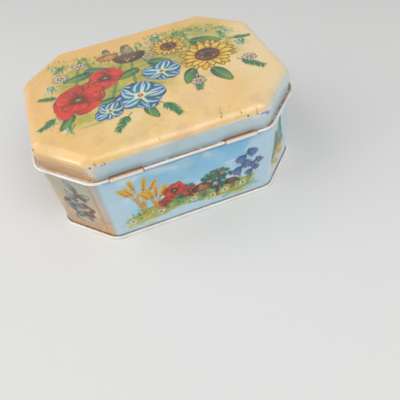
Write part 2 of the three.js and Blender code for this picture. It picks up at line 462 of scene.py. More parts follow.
class Finish(NodeWork):
    # a material with the Principled shader

    def __init__(self, name, **fixed):
        self.material = bpy.data.materials.new(name)
        self.material.use_nodes = True
        super().__init__(self.material.node_tree)
        self.shader = self.tree.nodes["Principled BSDF"]
        self.place = self.add("ShaderNodeTexCoord").outputs["Object"]
        for socket, value in fixed.items():
            self.join(value, self.shader.inputs[socket])

    def noise(self, size, detail=3, roughness=0.5, stretch=(1, 1, 1), shift=0.0):
        # size is that of one patch, in millimetres
        mapping = self.add("ShaderNodeMapping")
        self.join(self.place, mapping.inputs["Vector"])
        mapping.inputs["Location"].default_value = (shift, shift * 2, shift * 3)
        mapping.inputs["Scale"].default_value = [1 / (size * mm * s) for s in stretch]
        node = self.add("ShaderNodeTexNoise")
        self.join(mapping.outputs["Vector"], node.inputs["Vector"])
        node.inputs["Scale"].default_value = 1
        node.inputs["Detail"].default_value = detail
        node.inputs["Roughness"].default_value = roughness
        return node.outputs["Fac"]

    def blend(self, share, a, b, kind="MIX"):
        node = self.add("ShaderNodeMix", data_type="RGBA", blend_type=kind)
        for socket, given in ((0, share), (6, a), (7, b)):
            self.join(given, node.inputs[socket])
        return node.outputs[2]

    def painted(self, name):
        return self.add("ShaderNodeAttribute", attribute_name=name).outputs["Color"]

    def split(self, colour):
        node = self.add("ShaderNodeSeparateColor")
        self.join(colour, node.inputs[0])
        return node.outputs[:3]

    def bump(self, height, depth):
        # depth is in millimetres
        node = self.add("ShaderNodeBump")
        node.inputs["Distance"].default_value = depth * mm
        self.join(height, node.inputs["Height"])
        return node.outputs["Normal"]

    def use(self, **sockets):
        for name, value in sockets.items():
            self.join(value, self.shader.inputs[{"colour": "Base Color", "metal": "Metallic",
                                                 "rough": "Roughness", "normal": "Normal"}[name]])
        return self.material


# Light and floor

light = {
    "sky": 0.30,
    "lamps": {              # place, width, height for a width of 1, watts
        "window": ((500.0, -110.0, 520.0), 700.0, 1.0, 2.0),
        "fill": ((-200.0, 480.0, 700.0), 600.0, 1.0, 3.2),
        "glint": ((640.0, 115.0, 115.0), 75.0, 3.0, 0.42),
    },
    "floor": (0.86, 0.86, 0.85),
    "floorRoughness": 0.8,
    "floorSize": 6000.0,
    "backdrop": 0.72,       # how bright the far floor and what lies past it look
    "nearFloor": 330.0,     # where the lamps' light on the floor begins to fade
    "farFloor": 900.0,
}


def floorPaper():
    # a pale floor whose far part, where the lamps don't reach, looks as pale as the rest
    f = Finish("floorPaper", **{"Base Color": light["floor"], "Roughness": light["floorRoughness"]})
    glow = f.add("ShaderNodeEmission")
    f.join(light["backdrop"], glow.inputs["Strength"])
    away = f.add("ShaderNodeVectorMath", operation="LENGTH")
    f.join(f.place, away.inputs[0])
    far = f.ramp(away.outputs["Value"], light["nearFloor"] * mm, light["farFloor"] * mm, kind="LINEAR")
    both = f.add("ShaderNodeMixShader")
    for value, socket in zip((f.times(far, f.seen()), f.shader.outputs[0], glow.outputs[0]), both.inputs):
        f.join(value, socket)
    f.join(both.outputs[0], f.tree.nodes["Material Output"].inputs["Surface"])
    return f.material


def makeStudio():
    scene = bpy.context.scene
    scene.view_settings.view_transform = "Standard"
    scene.world = bpy.data.worlds.new("studio")
    scene.world.use_nodes = True
    work = NodeWork(scene.world.node_tree)
    sky = work.tree.nodes["Background"]
    work.join((1.0, 1.0, 1.0), sky.inputs["Color"])
    work.join(work.ramp(work.seen(), 0, 1, light["sky"], light["backdrop"], "LINEAR"), sky.inputs["Strength"])
    for name, (place, size, tall, watts) in light["lamps"].items():
        data = bpy.data.lights.new(name, "AREA")
        data.shape, data.energy = "RECTANGLE", watts
        data.size, data.size_y = size * mm, size * tall * mm
        aim(addObject(name, data), place, (0, 0, 0))
    half = light["floorSize"] * mm / 2
    mesh = bpy.data.meshes.new("floor")
    corners = [(-half, -half, 0), (half, -half, 0), (half, half, 0), (-half, half, 0)]
    mesh.from_pydata(corners, [], [(0, 1, 2, 3)])
    mesh.materials.append(floorPaper())
    floor = addObject("floor", mesh)


makeStudio()
print("stage: camera and light")

# Finishes of the tinplate

finish = {
    "varnishCoat": 0.45,
    "varnishRoughness": 0.1,
    "varnishTint": (0.97, 0.90, 0.74),
    "varnishShow": 0.30,        # in patches, from none to this share
    "grainTint": (0.90, 0.88, 0.85),
    "grainShow": 0.30,
    "scratchTint": (0.86, 0.84, 0.78),
    "scratchShow": 0.30,
    "dirtAndShadeTint": (0.13, 0.07, 0.05),
    "rustDark": (0.10, 0.035, 0.014),
    "rustLight": (0.30, 0.12, 0.045),
    "chipTint": (0.10, 0.085, 0.075),
    "chipEdge": (0.20, 0.14, 0.10),
    "chipMetal": 0.7,
    "paintDepth": 0.05,
    "rimLight": (0.93, 0.92, 0.91),
    "rimDull": (0.88, 0.82, 0.79),
    "tinMetal": 0.85,
    "tinLight": (0.66, 0.64, 0.60),
    "tinDull": (0.55, 0.50, 0.40),
    "millTint": (0.80, 0.79, 0.77),
    "tinDepth": 0.04,
}


def wornPaint(name, ground):
    # printed or painted tinplate under varnish: "age" holds bare metal, rust, and dirt with painted shade, as
    # red, green and blue
    f = Finish(name, **{"Coat Weight": finish["varnishCoat"], "Coat Roughness": finish["varnishRoughness"]})
    bare, rust, dirt = f.split(f.painted("age"))
    cloud, grain = f.noise(11, 4), f.noise(0.7, 2)
    yellowed = f.ramp(cloud, 0.42, 0.75, 0, finish["varnishShow"])
    colour = f.blend(yellowed, ground(f), finish["varnishTint"], "MULTIPLY")
    grained = f.ramp(grain, 0.35, 0.65, 0, finish["grainShow"])
    colour = f.blend(grained, colour, finish["grainTint"], "MULTIPLY")
    lines = f.ramp(f.noise(0.55, 2, stretch=(1, 40, 30)), 0.66, 0.72)
    cross = f.ramp(f.noise(0.5, 2, stretch=(34, 1.5, 30), shift=4.0), 0.69, 0.74)
    patches = f.ramp(f.noise(16, 2, shift=9.0), 0.45, 0.62)
    scratch = f.times(f.calc("MAXIMUM", lines, cross), patches)
    colour = f.blend(f.times(scratch, finish["scratchShow"]), colour, finish["scratchTint"])
    # blue darkens the colour: dirt, and painted shade in the lid's groove and where the walls meet the rim
    grimeAndShade = f.times(dirt, f.ramp(f.noise(2.2, 4, shift=2.0), 0.25, 0.6, 0.45, 1))
    colour = f.blend(grimeAndShade, colour, finish["dirtAndShadeTint"])
    rusting = f.ramp(f.plus(rust, f.noise(1.6, 5, 0.65, shift=5.0)), 0.95, 1.12)
    colour = f.blend(rusting, colour, f.blend(f.noise(0.8, 3), finish["rustDark"], finish["rustLight"]))
    flakes = f.plus(bare, f.noise(1.3, 4, 0.6, shift=7.0))
    chip = f.ramp(flakes, 1.0, 1.05)
    colour = f.blend(f.ramp(flakes, 0.93, 1.0), colour, finish["chipEdge"])
    colour = f.blend(chip, colour, finish["chipTint"])
    rough = f.plus(f.ramp(cloud, 0.3, 0.7, 0.24, 0.36), f.times(f.plus(rusting, grimeAndShade), 0.35))
    rough = f.plus(rough, f.times(f.plus(scratch, chip), 0.12))
    height = f.calc("SUBTRACT", f.times(f.noise(1.1, 2), 0.10), f.times(scratch, 0.25))
    height = f.plus(f.calc("SUBTRACT", height, chip), f.times(rusting, 0.6))
    return f.use(colour=colour, metal=f.times(chip, finish["chipMetal"]), rough=rough,
                 normal=f.bump(height, finish["paintDepth"]))


def rimGround(f):
    return f.blend(f.ramp(f.noise(7, 3), 0.4, 0.65), finish["rimLight"], finish["rimDull"])


def bareTin():
    f = Finish("bareTin", Metallic=finish["tinMetal"])
    cloud, fine = f.noise(14, 4, 0.6), f.noise(1.2, 4, 0.6)
    mill = f.noise(0.5, 2, stretch=(1, 60, 60))
    colour = f.blend(f.ramp(cloud, 0.35, 0.7), finish["tinLight"], finish["tinDull"])
    colour = f.blend(f.ramp(mill, 0.3, 0.7, 0, 0.5), colour, finish["millTint"], "MULTIPLY")
    freckles = f.plus(f.noise(2.4, 5, 0.7, shift=3.0), f.ramp(f.noise(25, 2), 0.4, 0.7, 0, 0.1))
    freckles = f.ramp(freckles, 0.70, 0.76)
    rough = f.plus(f.ramp(fine, 0.3, 0.7, 0.30, 0.46), f.times(freckles, 0.3))
    height = f.plus(f.times(mill, 0.25), f.times(freckles, 0.8))
    return f.use(colour=f.blend(freckles, colour, finish["rustLight"]), rough=rough,
                 normal=f.bump(height, finish["tinDepth"]))


plainInside = bareTin()
printedOutside = wornPaint("printedTin", lambda f: f.painted("print"))
rimOutside = wornPaint("rimPaint", rimGround)
print("stage: finishes")


# The print: painted on the points of a sheet, in millimetres of the flat sheet, with an ink for each name

inks = {
    "line": "4c3226", "cream": "ffda98", "peach": "fec87a", "paleCream": "fee3b0", "white": "faf4ec",
    "meadow": "c3ae3e", "meadowPale": "d6c66c", "grass": "95a63e", "leaf": "5f9c4e", "leafDark": "2c6c4c",
    "teal": "2b9a94", "tealDark": "17565e", "blue": "1f76b6", "violet": "7d86c9",
    "sky": "a6d8f2", "skyPale": "d2ebf9", "skyDeep": "7ec3ee", "cloud": "e8f3f8", "mist": "c2e1f2",
    "yellow": "fbc010", "yellowPale": "fbdc5c", "orange": "ee9420", "red": "e8432a", "redDark": "b52c1c",
    "pink": "f0b4a2", "brown": "7a5130", "brownDark": "46301f", "grey": "b3aea4", "greyDark": "6f6a64",
    "straw": "dcaf45", "tan": "cbb496", "tanDark": "b08a62", "rust": "b9743f", "rose": "c49e7a",
    "haze": "cbdde2", "lilac": "cdc4cc", "maroon": "7c2a22", "slate": "8fa9a6", "amber": "e2b274",
    "honey": "f8c46c",
}


def ink(tint):
    # a name from the list above, or a colour that is mixed already
    if isinstance(tint, str):
        return np.array([int(inks[tint][i:i + 2], 16) / 255 for i in (0, 2, 4)])
    return tint


def mixed(first, second, share):
    return ink(first) + (ink(second) - ink(first)) * share


def alongCurve(points, t):
    # a place on the curve through a first point, toward a second and to a third
    return (1 - t) ** 2 * points[0] + 2 * t * (1 - t) * points[1] + t ** 2 * points[2]


class PrintedFace:
    def __init__(self, u, v, ground):
        self.u, self.v = u, v
        self.tint = np.tile(ink(ground), (len(u), 1))

    def patches(self, size, seed, low, high, stretch=1.0):
        return smooth(low, high, mottle(self.u, self.v * stretch, size, seed))

    def near(self, x, y, reach):
        return np.nonzero((np.abs(self.u - x) < reach) & (np.abs(self.v - y) < reach))[0]

    def turned(self, x, y, reach, angle):
        # the points near a place, and where they are from it along and across a direction
        index = self.near(x, y, reach)
        du, dv = self.u[index] - x, self.v[index] - y
        return index, du * math.cos(angle) + dv * math.sin(angle), dv * math.cos(angle) - du * math.sin(angle)

    def lay(self, index, cover, tint):
        self.tint[index] += (ink(tint) - self.tint[index]) * np.clip(cover, 0, 1)[:, None]

    def wash(self, cover, tint):
        self.lay(np.arange(len(self.u)), cover, tint)

    def stroke(self, points, wide, tint, strength=1.0, thin=None):
        # a brush line through three or more points, from one width to another
        points = np.array(points, float)
        if len(points) == 3:
            points = alongCurve(points, np.linspace(0, 1, 11)[:, None])
        thin = wide if thin is None else thin
        middle = (points.min(axis=0) + points.max(axis=0)) / 2
        reach = np.abs(points - middle).max() + max(wide, thin) + 0.6
        index = self.near(*middle, reach)
        best = np.full(len(index), -9.0)
        runs = len(points) - 1
        for n, (a, b) in enumerate(zip(points[:-1], points[1:])):
            step = b - a
            du, dv = self.u[index] - a[0], self.v[index] - a[1]
            t = np.clip((du * step[0] + dv * step[1]) / max(step @ step, 1e-9), 0, 1)
            away = np.hypot(du - t * step[0], dv - t * step[1])
            best = np.maximum(best, (wide + (thin - wide) * (n + t) / runs) / 2 - away)
        self.lay(index, strength * smooth(-0.22, 0.22, best), tint)

    def petal(self, x, y, angle, length, width, root, tip, belly=0.7, outline=0.34, veins=0.0, curve=0.0,
              blunt=0.6):
        index, along, across = self.turned(x, y, length + width, angle)
        t = along / length
        across = across - curve * width * t * t
        inner = np.clip(t, 1e-4, 1 - 1e-4) ** belly

        def halfAt(s):
            return width / 2 * np.sin(math.pi * s) ** blunt

        half = halfAt(inner)
        rise = halfAt(np.clip(inner + 0.02, 0, 1 - 1e-4)) - halfAt(np.clip(inner - 0.02, 1e-4, 1))
        slope = rise / (0.04 * length)
        depth = (half - np.abs(across)) / np.sqrt(1 + np.minimum(slope ** 2, 1.5))
        beyond = np.maximum(np.maximum(-t, t - 1), 0) * length
        depth = np.where(beyond > 0, -np.hypot(beyond, across), depth)
        tint = mixed(root, tip, smooth(0.05, 0.85, t)[:, None])
        side = np.clip(across / (half + 0.2), -1, 1)[:, None]
        tint = np.clip(tint * (1 + 0.10 * side - 0.06 * np.abs(side)), 0, 1)
        if veins:
            stripe = 0.5 + 0.5 * np.cos(across / np.maximum(half, 0.3) * 3.3 * math.pi)
            tint = mixed(tint, "white", (veins * smooth(0.55, 0.9, stripe) * smooth(0.1, 0.4, t))[:, None])
        self.lay(index, smooth(-0.2, 0.2, depth), tint)
        if outline:
            self.inkEdge(index, depth, outline)

    def inkEdge(self, index, depth, wide):
        self.lay(index, 0.75 * (1 - smooth(wide / 4, wide / 4 + 0.32, np.abs(depth))), "line")

    def spot(self, x, y, wide, high, tint, angle=0.0, outline=0.0, rim=None, strength=1.0, soft=0.2):
        index, p, q = self.turned(x, y, max(wide, high) + 1 + soft, angle)
        p, q = p / (wide / 2), q / (high / 2)
        far = np.hypot(p, q)
        depth = (1 - far) * min(wide, high) / 2
        if rim is not None:
            tint = mixed(tint, rim, smooth(0.3, 1.0, far + 0.35 * (p - q) / 2)[:, None])
        self.lay(index, strength * smooth(-soft, soft, depth), tint)
        if outline:
            self.inkEdge(index, depth, outline)


# Motifs, each with its own seed so that a change to one leaves the rest alone


def polar(x, y, far, turn, squash=1.0):
    return x + far * math.cos(turn), y + far * squash * math.sin(turn)


def petalRing(face, x, y, reach, count, width, root, tip, rng, squash=1.0, start=0.0, inner=0.15, **shape):
    order = sorted(range(count), key=lambda n: math.sin(start + n * fullTurn / count), reverse=True)
    for n in order:
        turn = start + n * fullTurn / count + rng.normal(0, 0.06)
        dx, dy = math.cos(turn), math.sin(turn) * squash
        far = math.hypot(dx, dy)
        length = reach * far * rng.uniform(0.92, 1.06)
        face.petal(x + dx * reach * inner, y + dy * reach * inner, math.atan2(dy, dx), length * (1 - inner),
                   width * rng.uniform(0.9, 1.1), root, tip, curve=rng.normal(0, 0.15), **shape)


def sunflower(face, x, y, size, seed):
    rng, squash = np.random.default_rng(seed), 0.9
    petalRing(face, x, y, size / 2, 17, size * 0.15, "orange", "yellow", rng, squash, inner=0.25)
    petalRing(face, x, y, size * 0.43, 15, size * 0.14, "orange", "yellowPale", rng, squash, 0.2, inner=0.25)
    face.spot(x, y, size * 0.42, size * 0.42 * squash, "brown", outline=0.35, rim="brownDark")
    face.spot(x - size * 0.02, y + size * 0.02, size * 0.2, size * 0.2 * squash, "brownDark", soft=0.8)
    for _ in range(60):
        turn, far = rng.uniform(0, fullTurn), size * 0.19 * rng.uniform(0.35, 1) ** 0.7
        tint = "orange" if rng.random() < 0.6 else "line"
        face.spot(*polar(x, y, far, turn, squash), 0.7, 0.7, tint, strength=0.8)


def poppy(face, x, y, size, seed):
    rng, squash = np.random.default_rng(seed), 0.8
    for reach, count, width, start, inner in ((0.52, 4, 0.62, 0.4, 0.05), (0.42, 3, 0.46, 1.3, 0.0)):
        petalRing(face, x, y, size * reach, count, size * width, "redDark", "red", rng, squash, start, inner,
                  belly=1.5, blunt=0.4)
    for n in range(30):
        turn = n * fullTurn / 30 + rng.normal(0, 0.08)
        low, high = size * rng.uniform(0.16, 0.24), size * rng.uniform(0.3, 0.45)
        face.stroke([polar(x, y, far, turn, squash) for far in (low, high)],
                    size * 0.016, "redDark", 0.55, size * 0.008)
        if n % 3 == 0:
            face.stroke([polar(x, y, far, turn, squash) for far in (high * 0.7, high)],
                        size * 0.05, "pink", 0.3, size * 0.02)
    for n in range(28):
        turn = n * fullTurn / 28 + rng.normal(0, 0.05)
        end = polar(x, y, size * rng.uniform(0.12, 0.18), turn, squash)
        face.stroke([(x, y), end], 0.35, "line", 0.8)
        face.spot(*end, 0.6, 0.6, "brownDark")
    face.spot(x, y, size * 0.14, size * 0.13 * squash, "leaf", outline=0.3, rim="leafDark")
    for n in range(3):
        face.stroke([polar(x, y, size * far, n * halfTurn / 3, squash * 5 / 6) for far in (-0.06, 0.06)],
                    0.25, "meadowPale", 0.8)


def bindweed(face, x, y, size, seed):
    rng, squash = np.random.default_rng(seed), 0.85
    petalRing(face, x, y, size * 0.5, 6, size * 0.50, "teal", "blue", rng, squash, 0.3, 0.0,
              belly=1.25, blunt=0.5, veins=0.8)
    for n in range(5):
        tip = polar(x, y, size * 0.42, 0.5 + n * fullTurn / 5, squash)
        face.stroke([(x, y), tip], size * 0.09, "white", 0.85, 0.3)
    face.spot(x, y, size * 0.24, size * 0.22 * squash, "yellowPale", rim="white", soft=0.5)
    face.spot(x, y, size * 0.09, size * 0.09, "orange", outline=0.25)


def daisy(face, x, y, size, seed, root="white", tip="white", heart="yellow"):
    rng, squash = np.random.default_rng(seed), 0.85
    petalRing(face, x, y, size / 2, 11, size * 0.17, root, tip, rng, squash, inner=0.2,
              outline=0.2 if size > 6 else 0)
    face.spot(x, y, size * 0.3, size * 0.28 * squash, heart, outline=0.25, rim="orange")


def leafBlade(face, x, y, angle, length, width, seed):
    bend = np.random.default_rng(seed).normal(0, 0.25)
    face.petal(x, y, angle, length, width, "leafDark", "leaf", belly=0.75, curve=bend)
    rib = length * 0.93
    face.stroke([(x, y), polar(x, y, rib, angle)], 0.45, "meadowPale", 0.7, 0.2)
    for t in (0.25, 0.42, 0.58, 0.74):
        place = polar(x, y, rib * t, angle)
        for side in (-1, 1):
            face.stroke([place, polar(*place, width * 0.33, angle + side * 0.75)], 0.28, "meadowPale", 0.5)


def stem(face, points, wide=0.9):
    face.stroke(points, wide + 0.5, "line", 0.55)
    face.stroke(points, wide, "leaf")


def spray(face, x, y, angle, length, seed):
    # a stalk with narrow leaves in pairs
    rng, pairs = np.random.default_rng(seed), 7
    bend = rng.uniform(-0.3, 0.3)
    stalk = np.array([(x, y), polar(x, y, length / 2, angle + bend), polar(x, y, length, angle)])
    face.stroke(stalk, 0.55, "leafDark", 1, 0.3)
    for n in range(pairs):
        t = 0.2 + 0.75 * n / pairs
        for side in (-1, 1):
            face.petal(*alongCurve(stalk, t), angle + side * rng.uniform(0.6, 0.9),
                       length * 0.28 * (1.1 - t * 0.6), length * 0.085, "leafDark", "leaf", outline=0.0)


def tuft(face, x, y, height, seed, blades=12):
    rng, tints = np.random.default_rng(seed), ("leafDark", "leaf", "grass", "teal", "cloud")
    for _ in range(blades):
        lean = rng.normal(0, 0.45)
        tall = height * rng.uniform(0.5, 1)
        foot = x + rng.uniform(-1, 1) * height * 0.35
        tip = (foot + tall * math.sin(lean) * 1.2, y + tall * math.cos(lean))
        face.stroke([(foot, y), (foot + tall * 0.25 * math.sin(lean), y + tall * 0.6), tip],
                    0.75, str(rng.choice(tints)), 0.85, 0.2)


def toadstool(face, x, y, size, seed, cap="brown", rim="brownDark", stalk="grey"):
    rng = np.random.default_rng(seed)
    face.petal(x, y - size * 0.05, quarterTurn, size * 0.8, size * 0.34, "greyDark", stalk, belly=1.0,
               blunt=0.3)
    for k in (-1, 0, 1):
        face.stroke([(x + k * size * 0.07, y + size * 0.05), (x + k * size * 0.05, y + size * 0.5)],
                    0.3, "greyDark", 0.6)
    face.spot(x, y + size * 0.62, size * 0.95, size * 0.26, "paleCream", outline=0.35, rim="tanDark")
    for n in range(9):
        px = x + size * 0.42 * (n / 4 - 1)
        face.stroke([(x + (px - x) * 0.3, y + size * 0.66), (px, y + size * 0.57)], 0.25, "brown", 0.6)
    index = face.near(x, y + size * 0.7, size)
    du, dv = face.u[index] - x, face.v[index] - (y + size * 0.64)
    far = np.hypot(du / (size * 0.52), dv / (size * 0.42))
    depth = np.minimum((1 - far) * size * 0.42, dv + 0.10 * size * (1 - (du / (size * 0.52)) ** 2))
    shade = smooth(0.2, 1.1, far - 0.4 * du / size)[:, None]
    face.lay(index, smooth(-0.2, 0.2, depth), mixed(cap, rim, shade))
    face.inkEdge(index, depth, 0.34)
    for _ in range(5):
        turn, out = rng.uniform(0.5, 2.6), size * rng.uniform(0.12, 0.3)
        face.spot(*polar(x, y + size * 0.66, out, turn), size * 0.09, size * 0.07, "tan", strength=0.8)


def wheat(face, x, y, height, seed):
    rng, stalks = np.random.default_rng(seed), 6
    for n in range(stalks):
        lean = (n / (stalks - 1) - 0.5) * 1.1 + rng.normal(0, 0.06)
        tall = height * rng.uniform(0.78, 1.0)
        top = (x + tall * math.sin(lean) * 0.9, y + tall * math.cos(lean * 0.9))
        stalk = [(x + lean * 1.5, y), (x + tall * 0.25 * math.sin(lean), y + tall * 0.6), top]
        face.stroke(stalk, 0.9, "rust", 0.9, 0.7)
        face.stroke(stalk, 0.6, "straw", 1, 0.5)
        turn = quarterTurn - lean * 1.2
        for k in range(6):
            px, py = polar(*top, -0.9 * k, turn)
            for side in (-1, 1):
                face.petal(px, py, turn + side * 0.5, 2.4, 1.1, "rust", "yellow", outline=0)
            face.stroke([(px - 0.3, py), (px + 0.3, py + 0.3)], 0.3, "brown", 0.6)
        for side in (0.2, -0.2):
            face.stroke([top, polar(*top, 3.0, turn + side)], 0.3, "straw", 0.8)


def bush(face, x, y, wide, high, seed, dark, mid, berries=None):
    rng = np.random.default_rng(seed)

    def somewhere(low, most=1.0):
        turn, far = rng.uniform(0, fullTurn), rng.uniform(low, most) ** 0.5
        return *polar(x, y, wide / 2 * far, turn, high / wide), turn

    for _ in range(70):
        px, py, turn = somewhere(0)
        tint = mixed(dark, mid, rng.uniform(0, 1) * (0.6 + 0.4 * math.sin(turn)))
        face.spot(px, py, 2.6, 2.0, tint, rng.uniform(0, 3), soft=0.4, strength=0.9)
    for _ in range(30):
        px, py, _ = somewhere(0.3)
        face.stroke([(px - 0.7, py), (px, py + 0.7), (px + 0.7, py)], 0.32, "line", 0.6)
    for _ in range(9 if berries else 0):
        face.spot(*somewhere(0, 0.9)[:2], 1.5, 1.5, berries, outline=0.2)


def conifer(face, x, y, wide, high, seed):
    rng = np.random.default_rng(seed)
    face.stroke([(x, y - 1.5), (x, y + high * 0.3)], 1.3, "brownDark")
    for n in range(9):
        t, twigs = n / 9, int(9 - n * 0.7)
        level, half = y + high * t, wide / 2 * (1 - t) ** 0.85
        for k in range(twigs):
            px = x + half * (2 * (k + 0.5) / twigs - 1)
            tint = mixed("tealDark", "leaf", rng.uniform(0, 0.9))
            face.stroke([(px * 0.7 + x * 0.3, level + high * 0.13), (px, level + 1.2),
                         (px + (px - x) * 0.25, level - 0.4)], 1.5, tint, 0.95, 0.6)
    face.stroke([(x, y + high * 0.85), (x, y + high)], 0.8, "tealDark", 1, 0.2)


def berrySprig(face, x, y, size, seed, berry="red", leaves=("tealDark", "teal"), rim="redDark", shine=0.7):
    rng = np.random.default_rng(seed)
    top = (x + size * 0.12, y + size * 0.5)
    face.stroke([(x - size * 0.25, y - size * 0.5), (x - size * 0.1, y), top], 0.6, "brownDark", 1, 0.35)
    for t, side in ((0.1, 1), (0.25, -1), (0.45, 1), (0.6, -1), (0.8, 1), (0.95, -1)):
        px, py = x - size * 0.22 + t * size * 0.34, y - size * 0.45 + t * size * 0.9
        turn = quarterTurn - 0.3 - side * rng.uniform(0.7, 1.0)
        face.petal(px, py, turn, size * 0.36, size * 0.16, leaves[0], leaves[1], outline=0.3)
        face.stroke([(px, py), polar(px, py, size * 0.3, turn)], 0.28, "cloud", 0.6)
    for dx, dy in ((0.16, 0.06), (0.30, -0.04), (0.22, -0.17), (-0.26, 0.10), (-0.18, -0.04), (0.05, 0.32),
                   (0.20, 0.25)):
        px, py = x + dx * size, y + dy * size
        face.stroke([(x + dx * size * 0.3, py + size * 0.1), (px, py)], 0.3, "brownDark", 0.9)
        face.spot(px, py, size * 0.135, size * 0.135, berry, outline=0.28, rim=rim)
        face.spot(px - size * 0.02, py + size * 0.03, size * 0.04, size * 0.04, "white", strength=shine)


def bellflower(face, x, y, size, seed):
    rng = np.random.default_rng(seed)
    stem(face, [(x, y), (x + size * 0.08, y + size * 0.6), (x + size * 0.3, y + size)], 0.5)
    for t, side in ((0.5, -1), (0.68, 1), (0.85, -1), (1.0, 1)):
        px, py = x + size * 0.28 * t * t, y + size * t
        turn = -quarterTurn + side * rng.uniform(0.5, 0.9)
        for k in (-0.35, 0.35, 0.0):
            face.petal(px, py, turn + k, size * 0.3, size * 0.13, "blue", "violet", outline=0.1, belly=1.1)


def ridge(level, rise, way, shift=0.0):
    # the height of a waving line of ground
    return lambda x: level + rise * math.sin(x / way + shift)


def scatterGrass(face, low, high, base, count, seed, tall=3.0,
                 tints=("leaf", "grass", "leafDark", "meadowPale")):
    rng = np.random.default_rng(seed)
    for _ in range(count):
        x = rng.uniform(low, high)
        y = base(x) + rng.normal(0, 0.9)
        lean = rng.normal(0, 0.5)
        length = tall * rng.uniform(0.5, 1.2)
        face.stroke([(x, y), (x + length * lean * 0.4, y + length * 0.7), (x + length * lean, y + length)],
                    0.6, str(rng.choice(tints)), 0.75, 0.2)


def brushWork(face, low, high, base, spread, count, seed, tints, long, wide, strength):
    # loose slanting strokes laid along a line, for ground that is painted quickly
    rng = np.random.default_rng(seed)
    for _ in range(count):
        x = rng.uniform(low, high)
        y = base(x) + rng.normal(0, spread)
        run, rise = long * rng.uniform(0.4, 1), rng.normal(0, 0.12) * long
        face.stroke([(x - run / 2, y - rise / 2), (x, y + rng.normal(0, 0.5)), (x + run / 2, y + rise / 2)],
                    wide * rng.uniform(0.5, 1.3), str(rng.choice(tints)), strength * rng.uniform(0.5, 1), 0.4)


def linear(tint):
    # paint is mixed in display values, and stored as light
    return np.where(tint <= 0.04045, tint / 12.92, ((tint + 0.055) / 1.055) ** 2.4)


# Base pan: a panel inside the walls, then down, out under their flange and back over it

pan = {
    "recess": 1.2,           # of the panel, above the foot
    "bend": 0.35,
    "step": 1.2,             # length of a face round the walls
    "bendSteps": 8,          # faces round each upright bend
    "footWear": 0.34,
    "footRust": 0.18,
    "rust": 0.30,
    "dirt": 0.8,             # darker where the rim ends at the walls: dirt and painted shade
}


def makePan():
    inside = -tin["sheet"] - tin["gap"] - halfSheet
    panel, bend = pan["recess"] + halfSheet, pan["bend"]
    hook = rimHeight / 2 - halfSheet
    middle, kept, _ = sheetMiddle((inside - tin["bendRadius"] / 2, panel), [
        arc(inside - bend, panel - bend, bend, quarterTurn, -quarterTurn, 5, lead=1.5),
        arc(inside + bend, halfSheet + bend, bend, -halfTurn, quarterTurn, 5),
        arc(tin["rimReach"] - halfSheet - hook, rimHeight / 2, hook, -quarterTurn, halfTurn, 12),
        lineTo(tin["gap"], rimHeight - halfSheet),
    ])
    stations, _, _ = walkRound(pan["step"], pan["bendSteps"], {})
    sheet = SheetMesh()
    starts = sheet.sweep(stations, middle, kept, "right", capped=True)
    sheet.fill(starts["right"], tin["panelStep"], "painted", False)
    sheet.fill(starts["left"], tin["panelStep"], "plain", True)
    points, (u, v, _, run, _) = sheet.finish()
    atFoot = np.exp(-(points[:, 2] / 0.25) ** 2)
    end = sectionRun(middle)[-1]
    bare = pan["footWear"] * atFoot * mottle(u, v, 9, 61)
    rust = pan["rust"] * smooth(0.55, 0.8, mottle(u, v, 14, 62)) + pan["footRust"] * atFoot
    # blue: the rim's top edge darker where it meets the walls, dirt and painted shade
    age = np.c_[bare, rust, pan["dirt"] * smooth(end - 0.5, end, run)]
    piece = sheet.build("basePan", points, "base_pan", rimOutside, age=age)
    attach(piece, "tin_body")
    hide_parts("base_pan")


makePan()


# Walls: one sheet from the flange in the base seam up to the rolled hem, with two hinge tabs

walls = {
    "neckInset": 0.9,
    "neckHeight": 7.4,
    "neckStep": 1.2,         # length of a face on the neck
    "hem": 1.4,
    "hemTurn": 1.5,          # in half turns
    "seamFromMiddle": 21.5,  # along the end wall
    "seamWidth": 3.0,
    "seamGroove": 0.3,
    "seamFromRim": 1.0,      # where it begins above the rim
    "seamFromShoulder": 1.2,
    "waves": 0.16,           # depth of the slight waves of the sheet
    "neckRub": 0.28,
    "neckWear": 0.22,
    "footWear": 0.26,
    "rust": 0.16,
    "tabRust": (0.25, 0.12),  # beside the tabs, and on their ends
    # a darker line at the foot of the walls, just above the rim: dirt and painted shade
    "footDirtAndShade": 0.6,
    "dirt": 0.14,
    "tabDirt": 0.8,
    "skySize": 24.0,
    "meadowLow": 7.0,
    "meadowHigh": 15.0,
    "meadowHalf": {"back": 34, "front": 34, "rightEnd": 19},
    "meadowTints": ("grass", "leaf", "teal", "meadow", "skyPale"),
    "lineFromMiddle": 11.4,  # a painted line on two of the cut corners
    # the plants of each side: place from its middle, height, size, seed
    "backWheat": ((-25, 14, 21, 32), (-18, 13, 15, 33)),
    "backPoppies": ((-8, 21, 11, 34), (0, 17, 8.5, 35), (-14, 15, 7, 36)),
    "backBellflowers": ((26, 12, 20, 38), (32, 11, 14, 39)),
    "frontSunflowers": ((20, 27, 14, 52), (29, 18, 11, 53), (11, 18, 10, 54)),
    "frontBindweeds": ((-3, 16, 9.5, 57), (-9, 21, 9.5, 58), (3, 26, 9.5, 59)),
    "rightPoppies": ((5, 24, 11, 73), (13, 17, 9, 74)),
    # place only, then place and height
    "backDaisies": (-32, -17, 1, 11, 18, 28),
    "cornerDaisies": ((-9, 12), (-5, 9.5), (-0.5, 12.5), (3.5, 10), (3, 15.5), (-5, 15), (-1, 17)),
}


def longMeadow(face, m, half, seed):
    tints = (*walls["meadowTints"], "yellow")
    brushWork(face, m - half, m + half, ridge(11, 2.5, 9), 2.6, 120, seed, tints, 10, 1.7, 0.5)
    scatterGrass(face, m - half, m + half, ridge(11, 1.5, 8), 120, seed + 1)


